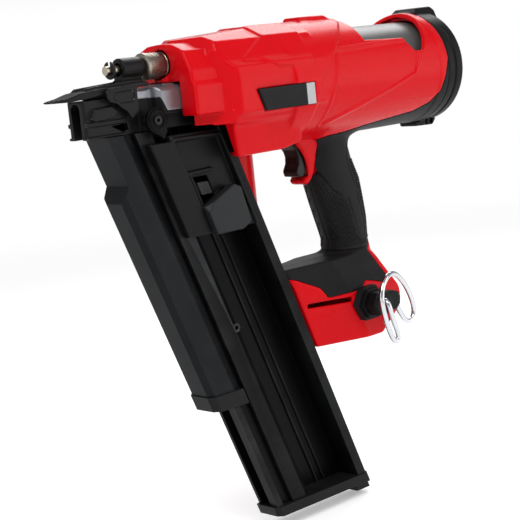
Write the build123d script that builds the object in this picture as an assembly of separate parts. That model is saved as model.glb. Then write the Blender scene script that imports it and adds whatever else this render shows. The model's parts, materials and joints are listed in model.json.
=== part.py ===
from build123d import *
import os
from math import cos, pi, radians, sin, tan

# Cordless framing nailer. +X runs from the nose to the rear cap, +Z is up and -Y is the tool's left
# side. The origin is on the drive axis, at the hole where the nail leaves. Millimetres throughout.

# Driving dimensions ---------------------------------------------------------------------------------
CAP_RADIUS = 45.0            # rear cap and main barrel
WALL = 3.0                   # moulded shell wall
CORE = 2.5                   # wall of the handle inside its rubber sleeve
SKIN = 1.5                   # rubber overmould on the barrel
BARREL_FRONT = 150.0
BARREL_REAR = 344.0
CAP_REAR = 363.0
TANK_RADIUS = 38.0           # gas cylinder
TANK_WALL = 4.0
TANK_FRONT = 186.0
TANK_REAR = 340.0
WINDOW_FRONT = 256.0         # opening that shows the gas cylinder from above
WINDOW_REAR = 326.0
WINDOW_FLOOR = 27.0

MAG_ANGLE = 21.0             # magazine leans back by this much from the vertical
MAG_TOP = -19.5
MAG_BOTTOM = -316.0
COVER_BOTTOM = -216.0
MAG_HALF = 12.5
SCREW_Z = -171.0
MAG_REAR = 112.0             # back wall, as a level distance behind the drive line at z = 0
BRACKET = 4.0                # plate between the magazine and the foot

STROKE = 96.0                # travel of the piston and driver blade
PISTON_FRONT = 297.0         # front face of the cocked piston
PISTON_LENGTH = 16.0
BLADE_HALF = 4.0
BLADE_THICK = 2.5
LIFT_X = 161.0
LIFT_STEPS = 9               # pin places on the lifter; one of them is empty
LIFT_RADIUS = 17.19
LIFT_PIN = 2.0
NOTCH_DEPTH = 4.4
LIFT_Y = LIFT_RADIUS + 2.0
LIFT_PITCH = 2 * pi * LIFT_RADIUS / LIFT_STEPS
MOTOR_Y = 35.0
MOTOR_RADIUS = 19.0
MOTOR_TOP = -16.0
MOTOR_BOTTOM = -128.0

ADJUST_Z = 24.6              # axis of the depth adjuster
ROD_RADIUS = 3.2
SLEEVE_RADIUS = 7.6
KNOB_RADIUS = 9.2
RUN = 0.06                   # radial clearance of a running fit

SPARE_X = 238.0               # spare hook hole on the right of the foot
SPARE_Z = -168.0
SPARE_RADIUS = 2.0

HOOK_X = 234.0
HOOK_Y = -31.0
HOOK_Z = -175.0
SCREW_LEVEL = 47.5          # level distance of the rail screw behind the muzzle
FOOT_FRONT_HALF = 15.6
FOOT_HALF = 31.0
FOOT_FULL_LEVEL = 157.0     # level distance behind the muzzle at which the foot reaches its full width
PIN_X = 52.5                # magazine pin
PIN_Z = -12.0
PIVOT_X = 203.0             # trigger pivot
PIVOT_Z = -47.0
PIVOT_RADIUS = 1.5
CAP_WALL = 6.0              # wall of the rear cap ring
SHAFT_RADIUS = 3.0          # motor shaft
LIFT_SHAFT = 4.0            # lifter shaft radius
SCREW_RADIUS = 3.4          # rail screw head
BOSS_PIN = 3.0              # pin that the hook turns on
KEY_RADIUS = 2.3            # hex key, across its corners halved
KEY_Y = 34.0
HOUSING_SCREWS = ((262, -166), (244, -194), (222, -150))
WIRE_RADIUS = 2.2

SLOPE = tan(radians(MAG_ANGLE))
DOWN = Vector(sin(radians(MAG_ANGLE)), 0, -cos(radians(MAG_ANGLE)))


# Shape helpers --------------------------------------------------------------------------------------
def block(x, y, z):
    """Box between the given (low, high) spans."""
    centre = ((x[0] + x[1]) / 2, (y[0] + y[1]) / 2, (z[0] + z[1]) / 2)
    return Pos(*centre) * Box(x[1] - x[0], y[1] - y[0], z[1] - z[0])


def rod_x(start, end, radius, y=0.0, z=0.0):
    """Round bar along X."""
    return Pos((start + end) / 2, y, z) * Rot(0, 90, 0) * Cylinder(radius, end - start)


def rod_y(start, end, radius, x=0.0, z=0.0):
    """Round bar along Y."""
    return Pos(x, (start + end) / 2, z) * Rot(90, 0, 0) * Cylinder(radius, end - start)


def rod_z(start, end, radius, x=0.0, y=0.0):
    """Round bar along Z."""
    return Pos(x, y, (start + end) / 2) * Cylinder(radius, end - start)


def side_prism(points, low_y, high_y):
    """Prism across the tool from an outline of (x, z) points."""
    plane = Plane(origin=(0, high_y, 0), x_dir=(1, 0, 0), z_dir=(0, -1, 0))
    return extrude(plane * make_face(Polyline(*points, close=True)), amount=high_y - low_y)


def end_prism(points, start, end, inset=0.0):
    """Prism along X from an outline of (y, z) points, drawn in by inset."""
    plane = Plane(origin=(start, 0, 0), x_dir=(0, 1, 0), z_dir=(1, 0, 0))
    face = make_face(Polyline(*points, close=True))
    if inset:
        face = offset(face, amount=-inset, kind=Kind.INTERSECTION)
    return extrude(plane * face, amount=end - start)


def mirrored(half):
    """Close a half outline of (y, z) points with its mirror image."""
    return half + [(-y, z) for y, z in reversed(half)]


def leaning(points, top, bottom):
    """Prism along the magazine between two levels, from an outline of (level x, y) points."""
    level = [(x - top * SLOPE, y) for x, y in points]
    face = Pos(0, 0, top) * make_face(Polyline(*level, close=True))
    return extrude(face, amount=(top - bottom) / cos(radians(MAG_ANGLE)), dir=DOWN)


def leaning_box(x, y, top, bottom):
    """Leaning prism with a rectangular section."""
    return leaning([(x[0], y[0]), (x[1], y[0]), (x[1], y[1]), (x[0], y[1])], top, bottom)


def left_half(shape):
    """The part of a shape on the tool's left."""
    return shape & block((-60, 420), (-90, 0), (-360, 90))


def right_half(shape):
    """The part of a shape on the tool's right."""
    return shape & block((-60, 420), (0, 90), (-360, 90))


# Housing --------------------------------------------------------------------------------------------
NOSE_SECTION = mirrored([(12, 38), (25, 33), (33, 18), (35, 8), (35, -12)])
BODY_SECTION = mirrored([(15, 43.5), (30, 37), (39, 23), (43, 10), (43, -14), (34, -24), (32, -45)])


def grip_section(z, centre, depth, width, inset):
    """One level section of the handle."""
    return Pos(centre, 0, z) * Ellipse(depth - inset, width - inset).face()


def handle(inset):
    """Handle, from the barrel down to the foot, drawn in by inset."""
    levels = [
        (-40, 240, 30, 18),
        (-66, 238, 24.5, 17.5),
        (-96, 244, 23.5, 17),
        (-126, 250.5, 18.5, 16.5),
        (-144, 250, 23, 19),
    ]
    return loft([grip_section(*level, inset) for level in levels])


def foot_plan(inset):
    """Leaning prism with the plan of the foot, narrow at the magazine and full width behind."""
    front, half, full = MAG_REAR + BRACKET + inset, FOOT_FRONT_HALF - inset, FOOT_HALF - inset
    plan = [(front, -half), (FOOT_FULL_LEVEL, -full), (300, -full), (300, full), (FOOT_FULL_LEVEL, full), (front, half)]
    return leaning(plan, -120, -215)


def foot(inset):
    """Battery foot, drawn in by inset."""
    outline = [
        (150, -142 - inset),
        (252 - inset, -138 - inset),
        (258 - inset, -146),
        (268 - inset, -162),
        (273 - inset, -175),
        (267 - inset, -189),
        (251 - inset, -203 + inset),
        (150, -203 + inset),
    ]
    return side_prism(outline, -FOOT_HALF, FOOT_HALF) & foot_plan(inset)


def body(inset, core=0.0):
    """Outer form of the red housing without its rear cap, drawn in by inset, and by core more in the handle."""
    nose = end_prism(NOSE_SECTION, 78 + inset, 106, inset)
    middle = end_prism(BODY_SECTION, 102 + inset, 172 - inset, inset)
    middle -= side_prism([(60, -10), (112 + inset, -10), (120 + inset, -60), (60, -60)], -60, 60)
    barrel = rod_x(BARREL_FRONT, BARREL_REAR, CAP_RADIUS - inset)
    gear = side_prism([(155, -20), (190 - inset, -20), (180 - inset, -36), (166, -44 + inset), (155, -44 + inset)],
                      inset - 31, 31 - inset)
    column = rod_z(MOTOR_BOTTOM + inset, MOTOR_TOP - inset, MOTOR_RADIUS + WALL - inset, LIFT_X, MOTOR_Y)
    collar = rod_x(86, 112, 13.5 - inset, 0, ADJUST_Z)
    top = block((216 + inset, 248 - inset), (inset - 10, 10 - inset), (30, 49.5 - inset))
    return nose + middle + barrel + gear + column + collar + top + handle(inset + core) + foot(inset)


def trigger_guard():
    """Frame around the trigger, at the front of the handle."""
    outline = [
        (216, -44), (196, -44), (196, -50), (205, -52), (209, -60), (208, -69),
        (200, -74), (191, -73), (189, -77), (204, -81), (216, -78),
    ]
    return side_prism(outline, -12.5, 12.5)


def belly():
    """Rubber skin under the barrel, between the handle and the rear cap."""
    outline = [(212, -43), (230, -40), (290, -36), (BARREL_REAR, -22), (BARREL_REAR, -60), (212, -60)]
    ring = rod_x(214, BARREL_REAR, CAP_RADIUS) - rod_x(200, BARREL_REAR + 1, CAP_RADIUS - SKIN)
    return (ring & side_prism(outline, -60, 60)) - handle(0) - trigger_guard()


def grip_sleeve():
    """Rubber sleeve round the handle."""
    sleeve = handle(0) - handle(WALL) - trigger_guard()
    return sleeve & side_prism([(212, -46), (280, -46), (280, -140.4), (212, -140.4)], -40, 40)


def magazine_room():
    """Space kept clear for the magazine and for the pusher on its way down."""
    return leaning_box((-6, MAG_REAR + 0.3), (-15.5, 13), -9, -215) + leaning_box((33, 104.5), (-27, -12), -20, -215)


def battery_bay():
    """Space under the foot where the battery slides in from behind."""
    slot = block((205, 290), (-25, 25), (-204, -188))
    rails = block((205, 262), (-25, -21), (-201, -196)) + block((205, 262), (21, 25), (-201, -196))
    return (slot - rails) & foot_plan(WALL)


def housing():
    """Whole housing shell, before it is split into halves."""
    shell = body(0) + trigger_guard()
    shell -= body(WALL, CORE)
    shell += rod_y(20, 30, 5.5, SPARE_X, SPARE_Z)
    shell -= rod_y(22, 32, SPARE_RADIUS, SPARE_X, SPARE_Z)
    shell -= belly()
    shell -= grip_sleeve()
    shell -= magazine_room()
    window = block((WINDOW_FRONT, WINDOW_REAR), (-60, 60), (WINDOW_FLOOR, 60))
    shell -= window
    shell -= rod_x(TANK_FRONT - 1, TANK_REAR + 5, TANK_RADIUS + 0.4)
    shell -= block((190, 216), (-8.8, 8.8), (-73, -38))
    shell -= trigger_pin()
    shell -= screw_seats()
    shell -= block((60, 90), (-18.3, 18.3), (-20, 12.2))
    shell -= block((60, 124), (-MAG_HALF - 0.5, MAG_HALF + 0.5), (-60, -8))
    shell -= rod_x(60, 125, 10.2, 0, ADJUST_Z)
    shell -= battery_bay()
    for pad in side_bumpers().values():
        shell -= pad
    shell -= bumper_inserts()
    shell -= side_prism([(188, -166.6), (222, -167.8), (222, -170.4), (188, -169.2)], -40, -22)
    return shell


def rear_cap_ring():
    """Black ring with a hanging lug on top and a rest below."""
    ring = rod_x(BARREL_REAR, CAP_REAR, CAP_RADIUS) - rod_x(BARREL_REAR - 1, CAP_REAR + 1, CAP_RADIUS - CAP_WALL)
    lug = block((348, 371), (-12, 12), (37, 48.5)) - block((CAP_REAR, 372), (-13, 13), (30, 42))
    rest = block((338.2, 366), (-9, 9), (-49.5, -41)) - rod_x(330, BARREL_REAR, CAP_RADIUS)
    cut = rod_x(330, 380, CAP_RADIUS - CAP_WALL)
    return ring + (lug - cut) + (rest - cut)


def rear_cap_plate():
    """Plate that closes the rear cap, with a row of vents."""
    plate = rod_x(CAP_REAR - 7, CAP_REAR - 3, CAP_RADIUS - CAP_WALL)
    for row in range(-2, 3):
        plate -= block((CAP_REAR - 8, CAP_REAR), (-20, 20), (row * 9 - 2, row * 9 + 2))
    return plate


# Gas spring and driver ------------------------------------------------------------------------------
def gas_cylinder():
    """Closed gas cylinder with an opening for the driver blade in front."""
    tank = rod_x(TANK_FRONT, TANK_REAR, TANK_RADIUS)
    tank -= rod_x(TANK_FRONT + 6, TANK_REAR - 6, TANK_RADIUS - TANK_WALL)
    return tank - block((TANK_FRONT - 1, TANK_FRONT + 7), (-5, 5), (-3.2, 3.2))


def piston_bumper():
    """Rubber ring that stops the piston."""
    ring = rod_x(TANK_FRONT + 6, TANK_FRONT + 14.5, TANK_RADIUS - TANK_WALL)
    return ring - rod_x(TANK_FRONT + 5, TANK_FRONT + 15, 9)


def piston():
    """Piston with a groove for its seal."""
    rear = PISTON_FRONT + PISTON_LENGTH
    bore = TANK_RADIUS - TANK_WALL
    disc = rod_x(PISTON_FRONT, rear, bore - RUN)
    groove = rod_x(PISTON_FRONT + 6, PISTON_FRONT + 10, bore + 1) - rod_x(PISTON_FRONT, rear, bore - 3)
    return disc - groove - rod_x(PISTON_FRONT + 5, rear + 1, 14)


def piston_seal():
    """Sliding ring in the piston's groove."""
    bore = TANK_RADIUS - TANK_WALL
    ring = rod_x(PISTON_FRONT + 6, PISTON_FRONT + 10, bore - RUN)
    return ring - rod_x(PISTON_FRONT, PISTON_FRONT + 11, bore - 3)


def driver_blade():
    """Blade that drives the nail, with notches for the lifter pins on its right edge."""
    tip = STROKE + 1
    blade = block((tip, PISTON_FRONT), (-BLADE_HALF, BLADE_HALF), (-BLADE_THICK, BLADE_THICK))
    for step in range(LIFT_STEPS):
        centre = LIFT_X + step * LIFT_PITCH
        blade -= block((centre - 2.8, centre + 2.8), (BLADE_HALF - NOTCH_DEPTH, BLADE_HALF + 1), (-3, 3))
    return blade


def lifter_wheel():
    """Two flanges and a hub that hold the lifter pins."""
    outer = LIFT_RADIUS + LIFT_PIN + 0.3
    hub = rod_z(-6, 6, 9, LIFT_X, LIFT_Y)
    wheel = rod_z(3.2, 6, outer, LIFT_X, LIFT_Y) + rod_z(-6, -3.2, outer, LIFT_X, LIFT_Y) + hub
    wheel += rod_z(-20, 9, LIFT_SHAFT, LIFT_X, LIFT_Y)
    for pin in pin_places():
        wheel -= rod_z(-7, 7, LIFT_PIN, *pin)
    return wheel


def pin_places():
    """Centres of the lifter pins, with the last place empty."""
    turns = [2 * pi * step / LIFT_STEPS for step in range(LIFT_STEPS - 1)]
    return [(LIFT_X + LIFT_RADIUS * sin(turn), LIFT_Y - LIFT_RADIUS * cos(turn)) for turn in turns]


def lifter_pins():
    """Hardened pins that push the blade back."""
    return Compound(children=[rod_z(-6, 6, LIFT_PIN, *pin) for pin in pin_places()])


def lifter_bearings():
    """Plain bearings above and below the lifter."""
    rings = []
    for low, high in ((6.3, 9), (-12, -6.3)):
        rings.append(rod_z(low, high, 9, LIFT_X, LIFT_Y) - rod_z(low - 1, high + 1, LIFT_SHAFT + RUN, LIFT_X, LIFT_Y))
    return Compound(children=rings)


def gearbox_case():
    """Case of the reduction gears between the motor and the lifter."""
    case = rod_z(-36, -14, 14.5, LIFT_X, LIFT_Y) + rod_z(-52, -20, 18.5, LIFT_X, MOTOR_Y)
    case -= rod_z(-24, -11, 4.5, LIFT_X, LIFT_Y)
    return case - rod_z(-53, -42, 5, LIFT_X, MOTOR_Y)


def motor_can():
    """Stator and can of the motor."""
    can = rod_z(-118, -52, MOTOR_RADIUS - 0.5, LIFT_X, MOTOR_Y)
    can -= rod_z(-114, -56, 12.5, LIFT_X, MOTOR_Y)
    can -= rod_z(-57, -51, SHAFT_RADIUS + RUN, LIFT_X, MOTOR_Y)
    return can - rod_z(-119, -113, SHAFT_RADIUS + RUN, LIFT_X, MOTOR_Y)


def motor_rotor():
    """Rotor on its shaft."""
    rotor = rod_z(-111, -62, 11.8, LIFT_X, MOTOR_Y)
    return rotor + rod_z(-118, -46, SHAFT_RADIUS, LIFT_X, MOTOR_Y)


# Nose -----------------------------------------------------------------------------------------------
def nail_path():
    """Keyhole space through the nose for the nail and the blade."""
    return rod_x(-5, 185, 4.9) + block((-5, 106), (-4.6, 4.6), (-25, 0))


def nose_guide():
    """Steel guide that the nail leaves through."""
    guide = block((0, 46), (-9, 9), (MAG_TOP + 0.5, 6.5))
    guide += side_prism([(4, -6), (8, 0.5), (24, 0.5), (28, -4), (24, -6)], -12, -9)
    guide += side_prism([(4, -6), (8, 0.5), (24, 0.5), (28, -4), (24, -6)], 9, 12)
    window = side_prism([(24, -14), (36, -13), (35, -17.5), (31, -17)], -10, -4)
    return guide - nail_path() - window


def nose_casting():
    """Aluminium frame between the housing, the nose guide and the magazine."""
    frame = block((46, 58), (-9.5, 9.5), (-17, 10.5)) + block((58, 98), (-17.8, 17.8), (-9, 10.5))
    frame += block((58, 104), (-9.5, 9.5), (-17, 9)) + block((70, 112), (-11, 11), (-9, 12))
    return frame - nail_path() - magazine_pins()


def claw():
    """Toothed plate that grips the work."""
    plate = side_prism([(-21, 8), (-10, 9.6), (0, 12.6), (40, 15), (56, 15),
                         (56, 11.5), (34, 11.5), (2, 7.4), (-10, 6.8)], -9, 9)
    for side in (-5.4, 0, 5.4):
        plate -= block((-22, -12), (side - 1, side + 1), (0, 12))
    return plate


def contact_arm():
    """Workpiece contact: claw, side wings and the eye that takes the adjuster rod."""
    arm = claw() + block((40, 56), (-5, 5), (13, ADJUST_Z))
    arm += rod_x(40, 58, SLEEVE_RADIUS, 0, ADJUST_Z)
    wing = [(18, 7.2), (40, 9), (44, -7), (36, -9), (30, -2), (20, 4)]
    for low, high in ((-15, -12.6), (12.6, 15)):
        arm += side_prism(wing, low, high)
        arm += block((20, 40), (low, high), (7, 12.8))
    arm += block((20, 40), (-15, 15), (10.5, 12.9))
    arm -= block((-1, 60), (-12.5, 12.5), (-30, 7.4))
    arm -= block((43, 60), (-20, 20), (-30, 11))
    return arm - rod_x(38, 60, ROD_RADIUS, 0, ADJUST_Z)


def adjuster_rod():
    """Rod that joins the contact arm to the adjuster, with a groove for the clip."""
    rod = rod_x(29, 112, ROD_RADIUS, 0, ADJUST_Z)
    groove = rod_x(32.5, 34, 6, 0, ADJUST_Z) - rod_x(30, 40, 2.4, 0, ADJUST_Z)
    return rod - groove


def retaining_clip():
    """Open ring in the rod's groove."""
    ring = rod_x(32.6, 33.9, 6.2, 0, ADJUST_Z) - rod_x(30, 40, 2.4, 0, ADJUST_Z)
    return ring - block((30, 40), (-1.6, 1.6), (ADJUST_Z, ADJUST_Z + 10))


def depth_knob():
    """Knurled nut that sets the driving depth."""
    knob = rod_x(60.5, 79, KNOB_RADIUS, 0, ADJUST_Z)
    knob += rod_x(79, 90, KNOB_RADIUS - 0.8, 0, ADJUST_Z)
    for step in range(24):
        turn = 15 * step
        rib = block((62, 78), (-0.45, 0.45), (KNOB_RADIUS - 0.5, KNOB_RADIUS + 0.4))
        knob += Pos(0, 0, ADJUST_Z) * Rot(turn, 0, 0) * rib
    return knob - rod_x(60, 91, ROD_RADIUS + RUN, 0, ADJUST_Z)


def adjuster_block():
    """Guide block in the housing, with a bore for the rod's end."""
    guide = block((102, 126), (-9, 9), (ADJUST_Z - 9.5, ADJUST_Z + 9.5)) + block((102, 112), (-9, 9), (12, 20))
    return guide - rod_x(100, 130, ROD_RADIUS + RUN, 0, ADJUST_Z)


# Magazine -------------------------------------------------------------------------------------------
def magazine_body():
    """Right wall and back wall of the magazine with the guide ribs for the nails."""
    wall = leaning([(14, 5), (112, 5), (112, 12.5), (26, 12.5), (22, 8), (14, 8)], MAG_TOP, MAG_BOTTOM)
    wall += leaning_box((103, MAG_REAR), (-15, 5.5), MAG_TOP, MAG_BOTTOM)
    for place in (74, 82):
        wall += leaning_box((place, place + 2), (3.6, 5.2), MAG_TOP, MAG_BOTTOM)
    return wall


def magazine_rail():
    """Left rail that the pusher runs on."""
    section = [(14, -9), (30, -9), (31, -12.5), (45, -12.5), (52, -7.5), (52, -5), (14, -5)]
    rail = leaning(section, MAG_TOP, MAG_BOTTOM)
    rail += leaning_box((14, 20), (-12.5, -8.8), COVER_BOTTOM - 13, MAG_BOTTOM)
    return rail - screw_hole()


def nail_tip_cover():
    """Moulded cover round the front of the magazine."""
    section = [(-3, -9.5), (1, -13.5), (20, -13.5), (26, -9.2), (26, -9.05), (13.8, -9.05), (13.8, 8.05),
               (21.9, 8.05), (21.9, 11), (0, 11), (-3, 7)]
    cover = leaning(section, MAG_TOP, COVER_BOTTOM)
    cover -= leaning_box((9.5, 15), (-5, 5), MAG_TOP + 1, COVER_BOTTOM - 1)
    cover -= leaning_box((1, 15), (-5, 5), -68, COVER_BOTTOM - 1)
    step = [(-12, -10), (mag_x(-10, 6.5), -10), (mag_x(-54, 6.5), -54),
            (mag_x(-66, -3.2), -66), (-12, -66)]
    return cover - side_prism(step, -30, 30)


def mag_x(z, level):
    """X of a magazine line at height z, from its level distance at z = 0."""
    return level - z * SLOPE


def cover_end_cap():
    """Collar that closes the lower end of the tip cover."""
    section = [(-4, -10), (0, -14.8), (28, -14.8), (28, -9.05), (13.8, -9.05), (13.8, 8.05), (21.9, 8.05),
               (21.9, 12), (0, 12), (-4, 8)]
    return leaning(section, COVER_BOTTOM, COVER_BOTTOM - 12) - leaning_box((1, 15), (-5, 5), -210, -240)


def magazine_end_cap():
    """Moulded cap at the loading end."""
    section = [(12, -10), (15, -14), (112, -16), (115, -13), (115, 11), (112, 13.5), (24, 13.5), (12, 9)]
    cap = leaning(section, MAG_BOTTOM, MAG_BOTTOM - 8)
    return cap + leaning([(100, -10), (115, -10), (115, 8), (100, 8)], MAG_BOTTOM - 8, MAG_BOTTOM - 15)


def magazine_screw():
    """Socket screw sunk into the rail."""
    x = mag_x(SCREW_Z, SCREW_LEVEL)
    return rod_y(-12, -5.5, SCREW_RADIUS, x, SCREW_Z) - rod_y(-13, -9.5, 1.7, x, SCREW_Z)


def screw_hole():
    """Hole in the rail for the socket screw."""
    return rod_y(-14, -5.5, SCREW_RADIUS, mag_x(SCREW_Z, SCREW_LEVEL), SCREW_Z)


def magazine_ears():
    """Ears at the top of the magazine that hang on the nose frame."""
    eye = [(46, -7), (49, -4.5), (54.5, -4.2), (58.5, -6.5), (62, -13), (60, -19), (57, -25), (50, -20), (45, -13)]
    ears = side_prism(eye, -21.5, -18) + side_prism(eye, 18, 21.5)
    return Compound(children=[ear - rod_y(-30, 30, 3.1, PIN_X, PIN_Z) for ear in ears.solids()])


def magazine_pins():
    """Hollow pins that hold the ears to the nose frame, clear of the nails between them."""
    pins = rod_y(-22.5, -5.5, 3.1, PIN_X, PIN_Z) + rod_y(5.5, 22.5, 3.1, PIN_X, PIN_Z)
    return pins - rod_y(-30, -10, 1.3, PIN_X, PIN_Z) - rod_y(10, 30, 1.3, PIN_X, PIN_Z)


def magazine_bracket():
    """Plate that fastens the magazine to the foot."""
    return leaning_box((MAG_REAR, MAG_REAR + BRACKET), (-12, 12), -144, -201)


# Pusher ---------------------------------------------------------------------------------------------
def pusher_body():
    """Sliding follower with a recessed plate, a front wing and the foot that pushes the nails."""
    plate = leaning_box((53, 102), (-16, -12), -26, -97)
    front = leaning_box((33.5, 54), (-20, -13.2), -28, -97)
    sides = leaning_box((53, 56), (-20, -5.3), -26, -97) + leaning_box((98.5, 102), (-20, -5.3), -24, -97)
    foot_block = leaning_box((60, 98), (-12.2, 3), -30, -40) + leaning_box((60, 98), (-12.2, 3), -84, -94)
    shape = plate + front + sides + foot_block
    shape -= leaning_box((62, 74), (-21, -11), -58, -78)
    return shape


def pusher_pad():
    """Raised thumb pad on the pusher."""
    outline = [(82, -79), (114, -64), (121, -67), (128, -93), (120, -98.5), (84, -98)]
    pad = side_prism(outline, -25, -16) & leaning_box((56.1, 101.9), (-26, -15), -60, -100)
    return pad


def pusher_latch():
    """Small catch in the pusher's window."""
    return leaning_box((63, 73), (-17, -13.2), -60, -69)


# Controls and small parts ---------------------------------------------------------------------------
def trigger():
    """Finger trigger with a hollow front face."""
    outline = [(196, -47), (199, -53), (199, -61), (195.5, -67), (197, -71.5), (203, -71.8), (206.5, -66),
               (206.5, -58), (204, -52), (206, -46), (203, -44)]
    return side_prism(outline, -8, 8) - rod_y(-9, 9, PIVOT_RADIUS + RUN, PIVOT_X, PIVOT_Z)


def trigger_pin():
    """Pivot pin of the trigger."""
    return rod_y(-11, 11, PIVOT_RADIUS, PIVOT_X, PIVOT_Z)


def side_bumpers():
    """Rubber pads on both sides of the housing."""
    pads = {}
    for name, side in (("left", -1), ("right", 1)):
        low, high = sorted((side * 41.5, side * 46))
        outline = [(128, 0.8), (176, 0.8), (176, -14.8), (134.5, -14.8)]
        pads["side_bumper_" + name] = side_prism(outline, low, high)
    return pads


def bumper_inserts():
    """Grey end pieces behind the rubber pads."""
    pieces = [block((176, 185), sorted((side * 41.5, side * 45.6)), (-14.8, 0.8)) for side in (-1, 1)]
    return Compound(children=pieces)


def screw_seats():
    """Holes for the housing screws."""
    return Compound(children=[rod_y(28.5, 33, 2.6, x, z) for x, z in HOUSING_SCREWS])


def housing_screws():
    """Screws that hold the halves together, put in from the right."""
    screws = [rod_y(28.5, 30.8, 2.6, x, z) - rod_y(29.6, 32, 1.2, x, z) for x, z in HOUSING_SCREWS]
    return Compound(children=screws)


def trigger_switch():
    """Switch behind the trigger."""
    return block((224, 244), (-6, 6), (-72, -54))


def control_board():
    """Potted control board in the foot."""
    return block((214, 254), (-22, 22), (-184, -179))


def terminal_block():
    """Insulating block in the battery bay."""
    return block((209, 230), (-17, 17), (-196, -188))


def terminals():
    """Metal contacts under the terminal block."""
    return Compound(children=[block((212, 229), (y - 0.5, y + 0.5), (-201, -196)) for y in (-12, -4, 4, 12)])


def hook_mount():
    """Six-sided boss on the left of the foot."""
    plane = Plane(origin=(HOOK_X, HOOK_Y, HOOK_Z), x_dir=(1, 0, 0), z_dir=(0, -1, 0))
    base = extrude(plane * RegularPolygon(15, 6), amount=6)
    second = extrude(plane.offset(6) * RegularPolygon(12.5, 6), amount=3)
    return base + second - rod_y(-50, -30, BOSS_PIN, HOOK_X, HOOK_Z)


def hook_swivel():
    """Turning block that carries the wire."""
    plane = Plane(origin=(HOOK_X, HOOK_Y - 9.4, HOOK_Z), x_dir=(1, 0, 0), z_dir=(0, -1, 0))
    cap = extrude(plane * RegularPolygon(10.5, 6), amount=9)
    arm = block((HOOK_X + 4, 256), (-49.4, -41.4), (-183, -168))
    return cap + arm + rod_y(-41, -32, BOSS_PIN - RUN, HOOK_X, HOOK_Z) - hook_wire()


def hook_wire():
    """Bent wire hook: two crooks joined by an arch."""
    points = [
        (240, -45.5, -176), (233, -50, -172), (230.5, -57, -172), (232, -58, -182), (236, -58, -193),
        (239.5, -57.5, -201), (236.5, -57, -205), (232, -57, -201), (227.5, -56.5, -187), (224.5, -56, -170),
        (228.5, -55, -160), (238, -52.5, -153.5), (248, -49.5, -153.5), (256, -48, -157.5), (264.5, -47, -168),
        (270.5, -46.5, -182), (271.5, -46.5, -191.5), (266, -46.5, -196), (259.5, -46.5, -192),
        (254.5, -46.5, -182), (250, -46.5, -175),
    ]
    path = Spline(*points)
    return sweep(Plane(path @ 0, z_dir=path % 0) * Circle(WIRE_RADIUS), path=path)


def hex_key():
    """Hex key stored along the right side of the foot."""
    points = [(232, KEY_Y, -143.4), (232, KEY_Y, -156), (270, KEY_Y, -158)]
    path = FilletPolyline(*points, radius=4)
    return sweep(Plane(path @ 0, z_dir=path % 0) * RegularPolygon(KEY_RADIUS, 6), path=path)


def build():
    """Write one STEP file for each sub-part."""
    shell = housing()
    sleeve = grip_sleeve()
    under = belly()
    nodes = {
        "housing_left": left_half(shell),
        "housing_right": right_half(shell),
        "grip_left": left_half(sleeve),
        "grip_right": right_half(sleeve),
        "belly_skin": under,
        "rear_cap_ring": rear_cap_ring(),
        "rear_cap_plate": rear_cap_plate(),
        "gas_cylinder": gas_cylinder(),
        "piston_bumper": piston_bumper(),
        "piston": piston(),
        "piston_seal": piston_seal(),
        "driver_blade": driver_blade(),
        "lifter_wheel": lifter_wheel(),
        "lifter_pins": lifter_pins(),
        "lifter_bearings": lifter_bearings(),
        "gearbox_case": gearbox_case(),
        "motor_can": motor_can(),
        "motor_rotor": motor_rotor(),
        "nose_guide": nose_guide(),
        "nose_casting": nose_casting(),
        "contact_arm": contact_arm(),
        "adjuster_rod": adjuster_rod(),
        "retaining_clip": retaining_clip(),
        "depth_knob": depth_knob(),
        "adjuster_block": adjuster_block(),
        "magazine_body": magazine_body(),
        "magazine_rail": magazine_rail(),
        "nail_tip_cover": nail_tip_cover(),
        "cover_end_cap": cover_end_cap(),
        "magazine_end_cap": magazine_end_cap(),
        "magazine_screw": magazine_screw(),
        "magazine_ears": magazine_ears(),
        "magazine_pins": magazine_pins(),
        "magazine_bracket": magazine_bracket(),
        "pusher_body": pusher_body(),
        "pusher_pad": pusher_pad(),
        "pusher_latch": pusher_latch(),
        "trigger": trigger(),
        "trigger_pin": trigger_pin(),
        "bumper_inserts": bumper_inserts(),
        "housing_screws": housing_screws(),
        "trigger_switch": trigger_switch(),
        "control_board": control_board(),
        "terminal_block": terminal_block(),
        "terminals": terminals(),
        "hook_mount": hook_mount(),
        "hook_swivel": hook_swivel(),
        "hook_wire": hook_wire(),
        "hex_key": hex_key(),
    }
    nodes.update(side_bumpers())
    os.makedirs("parts", exist_ok=True)
    for name, shape in nodes.items():
        export_step(shape, f"parts/{name}.step")
        print(name, [round(s.volume / 1000, 2) for s in shape.solids()])


build()
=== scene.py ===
"""Visible model of a cordless framing nailer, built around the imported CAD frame."""

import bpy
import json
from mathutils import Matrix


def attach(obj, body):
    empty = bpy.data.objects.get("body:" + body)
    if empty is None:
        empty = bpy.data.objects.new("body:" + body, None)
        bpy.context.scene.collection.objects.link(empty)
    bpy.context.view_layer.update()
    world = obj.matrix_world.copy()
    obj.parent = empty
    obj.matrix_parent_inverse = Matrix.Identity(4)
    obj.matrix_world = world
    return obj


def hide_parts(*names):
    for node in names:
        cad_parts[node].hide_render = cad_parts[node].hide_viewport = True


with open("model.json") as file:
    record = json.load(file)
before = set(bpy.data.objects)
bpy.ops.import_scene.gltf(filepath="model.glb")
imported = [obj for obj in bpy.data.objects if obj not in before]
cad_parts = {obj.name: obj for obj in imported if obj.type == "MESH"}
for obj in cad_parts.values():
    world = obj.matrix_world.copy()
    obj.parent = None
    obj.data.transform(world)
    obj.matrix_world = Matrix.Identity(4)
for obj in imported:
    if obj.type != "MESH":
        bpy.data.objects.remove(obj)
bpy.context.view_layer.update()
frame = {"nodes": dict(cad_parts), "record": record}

import copy
import json
import logging
import math
from dataclasses import dataclass
from enum import Enum

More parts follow.
